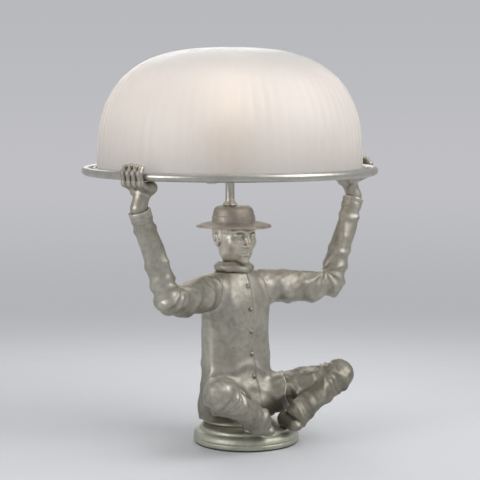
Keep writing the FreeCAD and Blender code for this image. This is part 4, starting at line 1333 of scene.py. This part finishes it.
domeLow = 267.4
domeTop = 386.99
domeSet = {"Radius": 131.0 * mm, "Height": (domeTop - domeLow) * mm, "Low": domeLow * mm, "Wall": 3.0 * mm,
           "Squareness": 2.8, "Flutes": 72, "FluteDepth": 0.55 * mm, "Around": 432, "Rings": 54}


def domeSheet(tree, given, rows):
    # a unit grid, with its turn round the axis and its share of the way across
    columns = calc(tree, "ADD", given["Around"], 1.0)
    grid = addNode(tree, "GeometryNodeMeshGrid", {"Size X": 1.0, "Size Y": 1.0, "Vertices X": columns,
                                                  "Vertices Y": rows}).outputs["Mesh"]
    at = parted(tree, addNode(tree, "GeometryNodeInputPosition").outputs[0])
    turn = calc(tree, "MULTIPLY", calc(tree, "ADD", at[0], 0.5), 2 * math.pi)
    return grid, turn, calc(tree, "ADD", at[1], 0.5)


def domeWrap(tree, grid, reach, turn, level):
    x = calc(tree, "MULTIPLY", reach, calc(tree, "COSINE", turn))
    y = calc(tree, "MULTIPLY", reach, calc(tree, "SINE", turn))
    spot = vectorOf(tree, {0: x, 1: y, 2: level})
    return addNode(tree, "GeometryNodeSetPosition", {"Geometry": grid, "Position": spot}).outputs[0]


def domeSurface(tree, given, offset, fluted):
    grid, turn, share = domeSheet(tree, given, calc(tree, "ADD", given["Rings"], 1.0))
    rise = calc(tree, "MULTIPLY", calc(tree, "MINIMUM", share, 1.0), math.pi / 2)
    power = calc(tree, "DIVIDE", 2.0, given["Squareness"])
    shrink = calc(tree, "POWER", calc(tree, "MAXIMUM", calc(tree, "COSINE", rise), 0.0), power)
    climb = calc(tree, "POWER", calc(tree, "SINE", rise), power)
    reach = calc(tree, "MULTIPLY", calc(tree, "SUBTRACT", given["Radius"], offset), shrink)
    if fluted:
        wave = calc(tree, "COSINE", calc(tree, "MULTIPLY", turn, given["Flutes"]))
        wave = calc(tree, "MULTIPLY_ADD", wave, -0.5, 0.5)
        fade = calc(tree, "MINIMUM", calc(tree, "MULTIPLY", climb, 8.0), 1.0)
        depth = calc(tree, "MULTIPLY", wave, calc(tree, "MULTIPLY", shrink, fade))
        reach = calc(tree, "SUBTRACT", reach, calc(tree, "MULTIPLY", depth, given["FluteDepth"]))
    height = calc(tree, "SUBTRACT", given["Height"], offset)
    return domeWrap(tree, grid, reach, turn, calc(tree, "MULTIPLY_ADD", climb, height, given["Low"]))


def domeRim(tree, given):
    # flat strip between the two rims
    grid, turn, share = domeSheet(tree, given, 2)
    reach = calc(tree, "SUBTRACT", given["Radius"], calc(tree, "MULTIPLY", share, given["Wall"]))
    return domeWrap(tree, grid, reach, turn, given["Low"])


def makeDome(s):
    tree, given, result, ids = newTree("flutedDome", s)
    outer = domeSurface(tree, given, 0.0, True)
    joined = addNode(tree, "GeometryNodeJoinGeometry")
    tree.links.new(outer, joined.inputs[0])
    for part in (domeSurface(tree, given, given["Wall"], False), domeRim(tree, given)):
        tree.links.new(addNode(tree, "GeometryNodeFlipFaces", {0: part}).outputs[0], joined.inputs[0])
    welded = {"Geometry": joined.outputs[0], "Distance": 0.00002}
    endTree(tree, addNode(tree, "GeometryNodeMergeByDistance", welded).outputs[0], given, result)
    dome = grown("fluted_dome", tree, ids, dict(s, Finish=finishes["shadeGlass"]))
    outward(dome.data, 60)
    return dome


place(makeDome(domeSet), "shadeGlass", "shade_glass", body="shade", replaces=["shade_glass"])
print("stage: dome")


# Slotted screws of the ring and of the foot's plate

screwSet = {"HeadRadius": 2.6 * mm, "HeadHeight": 1.4 * mm, "ShankRadius": 1.5 * mm, "ShankLength": 4.0 * mm,
            "SlotWidth": 0.7 * mm, "SlotDepth": 0.6 * mm, "Seed": 7, "Flip": 0.0}
plateScrewSet = dict(screwSet, ShankRadius=1.3 * mm, HeadHeight=0.6 * mm, SlotDepth=0.35 * mm, Flip=math.pi)
screwPlaceSet = {"palms": 139.0, "carrier": 125.5, "carrierTurns": (90, 225, 315), "lift": 0.04,
                 "plate": 40.5, "plateTurns": (30, 150, 270)}


def makeScrewTree(s):
    tree, given, result, ids = newTree("slottedScrew", s)
    cone = addNode(tree, "GeometryNodeMeshCone", {
        "Vertices": 40, "Radius Top": given["HeadRadius"], "Radius Bottom": given["ShankRadius"],
        "Depth": given["HeadHeight"]}).outputs["Mesh"]
    cone = shifted(tree, cone, {2: calc(tree, "MULTIPLY", given["HeadHeight"], -1.0)})
    slot = vectorOf(tree, {0: calc(tree, "MULTIPLY", given["HeadRadius"], 3.0), 1: given["SlotWidth"],
                           2: calc(tree, "MULTIPLY", given["SlotDepth"], 2.0)})
    cutter = addNode(tree, "GeometryNodeMeshCube", {"Size": slot}).outputs["Mesh"]
    head = addNode(tree, "GeometryNodeMeshBoolean", {0: cone, 1: cutter}, operation="DIFFERENCE",
                   solver="EXACT")
    shank = addNode(tree, "GeometryNodeMeshCylinder", {
        "Vertices": 24, "Radius": given["ShankRadius"], "Depth": given["ShankLength"]}).outputs["Mesh"]
    drop = calc(tree, "SUBTRACT", calc(tree, "MULTIPLY", given["ShankLength"], -0.5), given["HeadHeight"])
    screw = addNode(tree, "GeometryNodeJoinGeometry")
    tree.links.new(head.outputs["Mesh"], screw.inputs[0])
    tree.links.new(shifted(tree, shank, {2: drop}), screw.inputs[0])
    # each slot stands at its own chance angle
    chance = addNode(tree, "FunctionNodeRandomValue", {"Min": 0.0, "Max": 3.1, "Seed": given["Seed"]},
                     data_type="FLOAT")
    angle = [socket for socket in chance.outputs if socket.enabled][0]
    spread = addNode(tree, "GeometryNodeInstanceOnPoints", {
        "Points": given["Geometry"], "Instance": screw.outputs[0],
        "Rotation": vectorOf(tree, {0: given["Flip"], 2: angle})}).outputs[0]
    endTree(tree, spread, given, result)
    return tree, ids


def circlePlace(reach, degrees, y, z):
    turn = math.radians(degrees)
    return (reach * math.cos(turn) * mm, (y + reach * math.sin(turn)) * mm, z * mm)


def screwRow(name, sizes, spots, node):
    row = grown(name, screwTree, screwIds, dict(sizes, Finish=finishes["steel"]), spots, angle=35)
    place(row, "steel", "steel", replaces=[node])


screwTree, screwIds = makeScrewTree(screwSet)
screwLevel = ringSet["ledge"] + screwPlaceSet["lift"]
palmX, palmY, _ = around(screwPlaceSet["palms"], 0, 0)
ringSpots = [(side * palmX * mm, palmY * mm, screwLevel * mm) for side in (1, -1)]
ringSpots += [circlePlace(screwPlaceSet["carrier"], turn, 0, screwLevel)
              for turn in screwPlaceSet["carrierTurns"]]
screwRow("ring_slotted_screws", screwSet, ringSpots, "ring_screws")
plateSpots = [circlePlace(screwPlaceSet["plate"], turn, -footSet["offset"], footSet["felt"])
              for turn in screwPlaceSet["plateTurns"]]
screwRow("plate_slotted_screws", plateScrewSet, plateSpots, "cover_screws")


# Stitches round the hat's brim

stitchSet = {"Radius": 35.2 * mm, "Count": 132, "Length": 1.0 * mm, "Thick": 0.32 * mm, "Level": 213.25 * mm,
             "Back": hatSet["centre"][1] * mm}


def makeStitches(s):
    tree, given, result, ids = newTree("brimStitch", s)
    circle = addNode(tree, "GeometryNodeMeshCircle", {"Vertices": given["Count"], "Radius": given["Radius"]})
    knot = addNode(tree, "GeometryNodeMeshUVSphere", {"Segments": 8, "Rings": 5, "Radius": 0.5})
    parts = parted(tree, addNode(tree, "GeometryNodeInputPosition").outputs[0])
    row = addNode(tree, "GeometryNodeInstanceOnPoints", {
        "Points": circle.outputs["Mesh"], "Instance": knot.outputs["Mesh"],
        "Rotation": vectorOf(tree, {2: calc(tree, "ARCTAN2", parts[1], parts[0])}),
        "Scale": vectorOf(tree, {0: given["Thick"], 1: given["Length"], 2: given["Thick"]})}).outputs[0]
    endTree(tree, shifted(tree, row, {1: given["Back"], 2: given["Level"]}), given, result)
    row = grown("brim_stitches", tree, ids, dict(s, Finish=finishes["castHat"]))
    # the row follows the bend of the brim
    spots = np.array([v.co for v in row.data.vertices])
    turns = np.arctan2(spots[:, 1] - s["Back"], spots[:, 0])
    spots[:, 2] += brimWave(s["Radius"] / mm, turns) * mm
    row.data.vertices.foreach_set("co", spots.astype(np.float32).ravel())
    return row


place(makeStitches(stitchSet), "castHat", "casting")
print("stage: screws and stitches")


# Bulb cap with a rolled thread

bulbSet = {"radius": 13.5, "wall": 0.4, "lift": 2.0, "pitch": 3.6, "threadDepth": 0.75, "fadeLow": 2.5,
           "fadeHigh": 3.0, "turns": 128, "rings": 90}


def makeBulbCap(s):
    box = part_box("bulb_cap")
    low = box[0].z / mm + s["lift"]
    high = box[1].z / mm
    turns = s["turns"]
    angle = np.linspace(0, 2 * math.pi, turns, endpoint=False)
    levels = np.linspace(low, high, s["rings"])
    points = []
    for wall, rows in ((0.0, levels), (s["wall"], levels[::-1])):
        for z in rows:
            fade = min(1.0, (z - low) / s["fadeLow"], (high - z) / s["fadeHigh"])
            thread = 0.5 - 0.5 * np.cos(2 * math.pi * z / s["pitch"] - angle)
            r = s["radius"] - wall - s["threadDepth"] * fade * thread
            points.append(np.stack([r * np.cos(angle), r * np.sin(angle), np.full(turns, z)], 1))
    count = 2 * s["rings"]
    faces = []
    for k in range(count):
        here = k * turns
        above = (k + 1) % count * turns
        for i in range(turns):
            j = (i + 1) % turns
            faces.append((here + i, here + j, above + j, above + i))
    return newPiece("bulb_threaded_cap", np.concatenate(points) * mm, faces, angle=60)


place(makeBulbCap(bulbSet), "capMetal", "cap_metal", body="bulb", replaces=["bulb_cap"])
print("stage: bulb cap")


# Every other node keeps its solid and takes its finish

nodeFinish = {
    "felt": ["felt_pad"],
    "iron": ["ballast_weight"],
    "rubber": ["ring_gasket"],
    "porcelain": ["terminal_block"],
    "paper": ["socket_liner"],
    "capMetal": ["screw_shell"],
    "bulbGlass": ["bulb_globe"],
    "glow": ["filament_mount"],
    "leadSheath": ["lead_live", "lead_neutral"],
    "turnedMetal": ["ring_spider", "hat_nut"],
    "phenolic": ["inlet_bush", "socket_core", "switch_knob", "bulb_insulator"],
    "brass": ["inlet_nut", "earth_screw", "socket_cap", "socket_shell", "wire_screws", "contact_spring",
              "terminal_screws"],
    "steel": ["base_cover", "spider_nut", "shoulder_studs", "hip_studs", "foot_screws", "lamp_pipe",
              "pipe_washer", "pipe_nut", "cap_screw", "switch_shaft", "bulb_contact"],
}
for look, names in nodeFinish.items():
    for name in names:
        nodes[name].data.materials.clear()
        nodes[name].data.materials.append(finishes[look])
print("stage: nodes painted,", sum(len(names) for names in nodeFinish.values()))

print("stage: done")
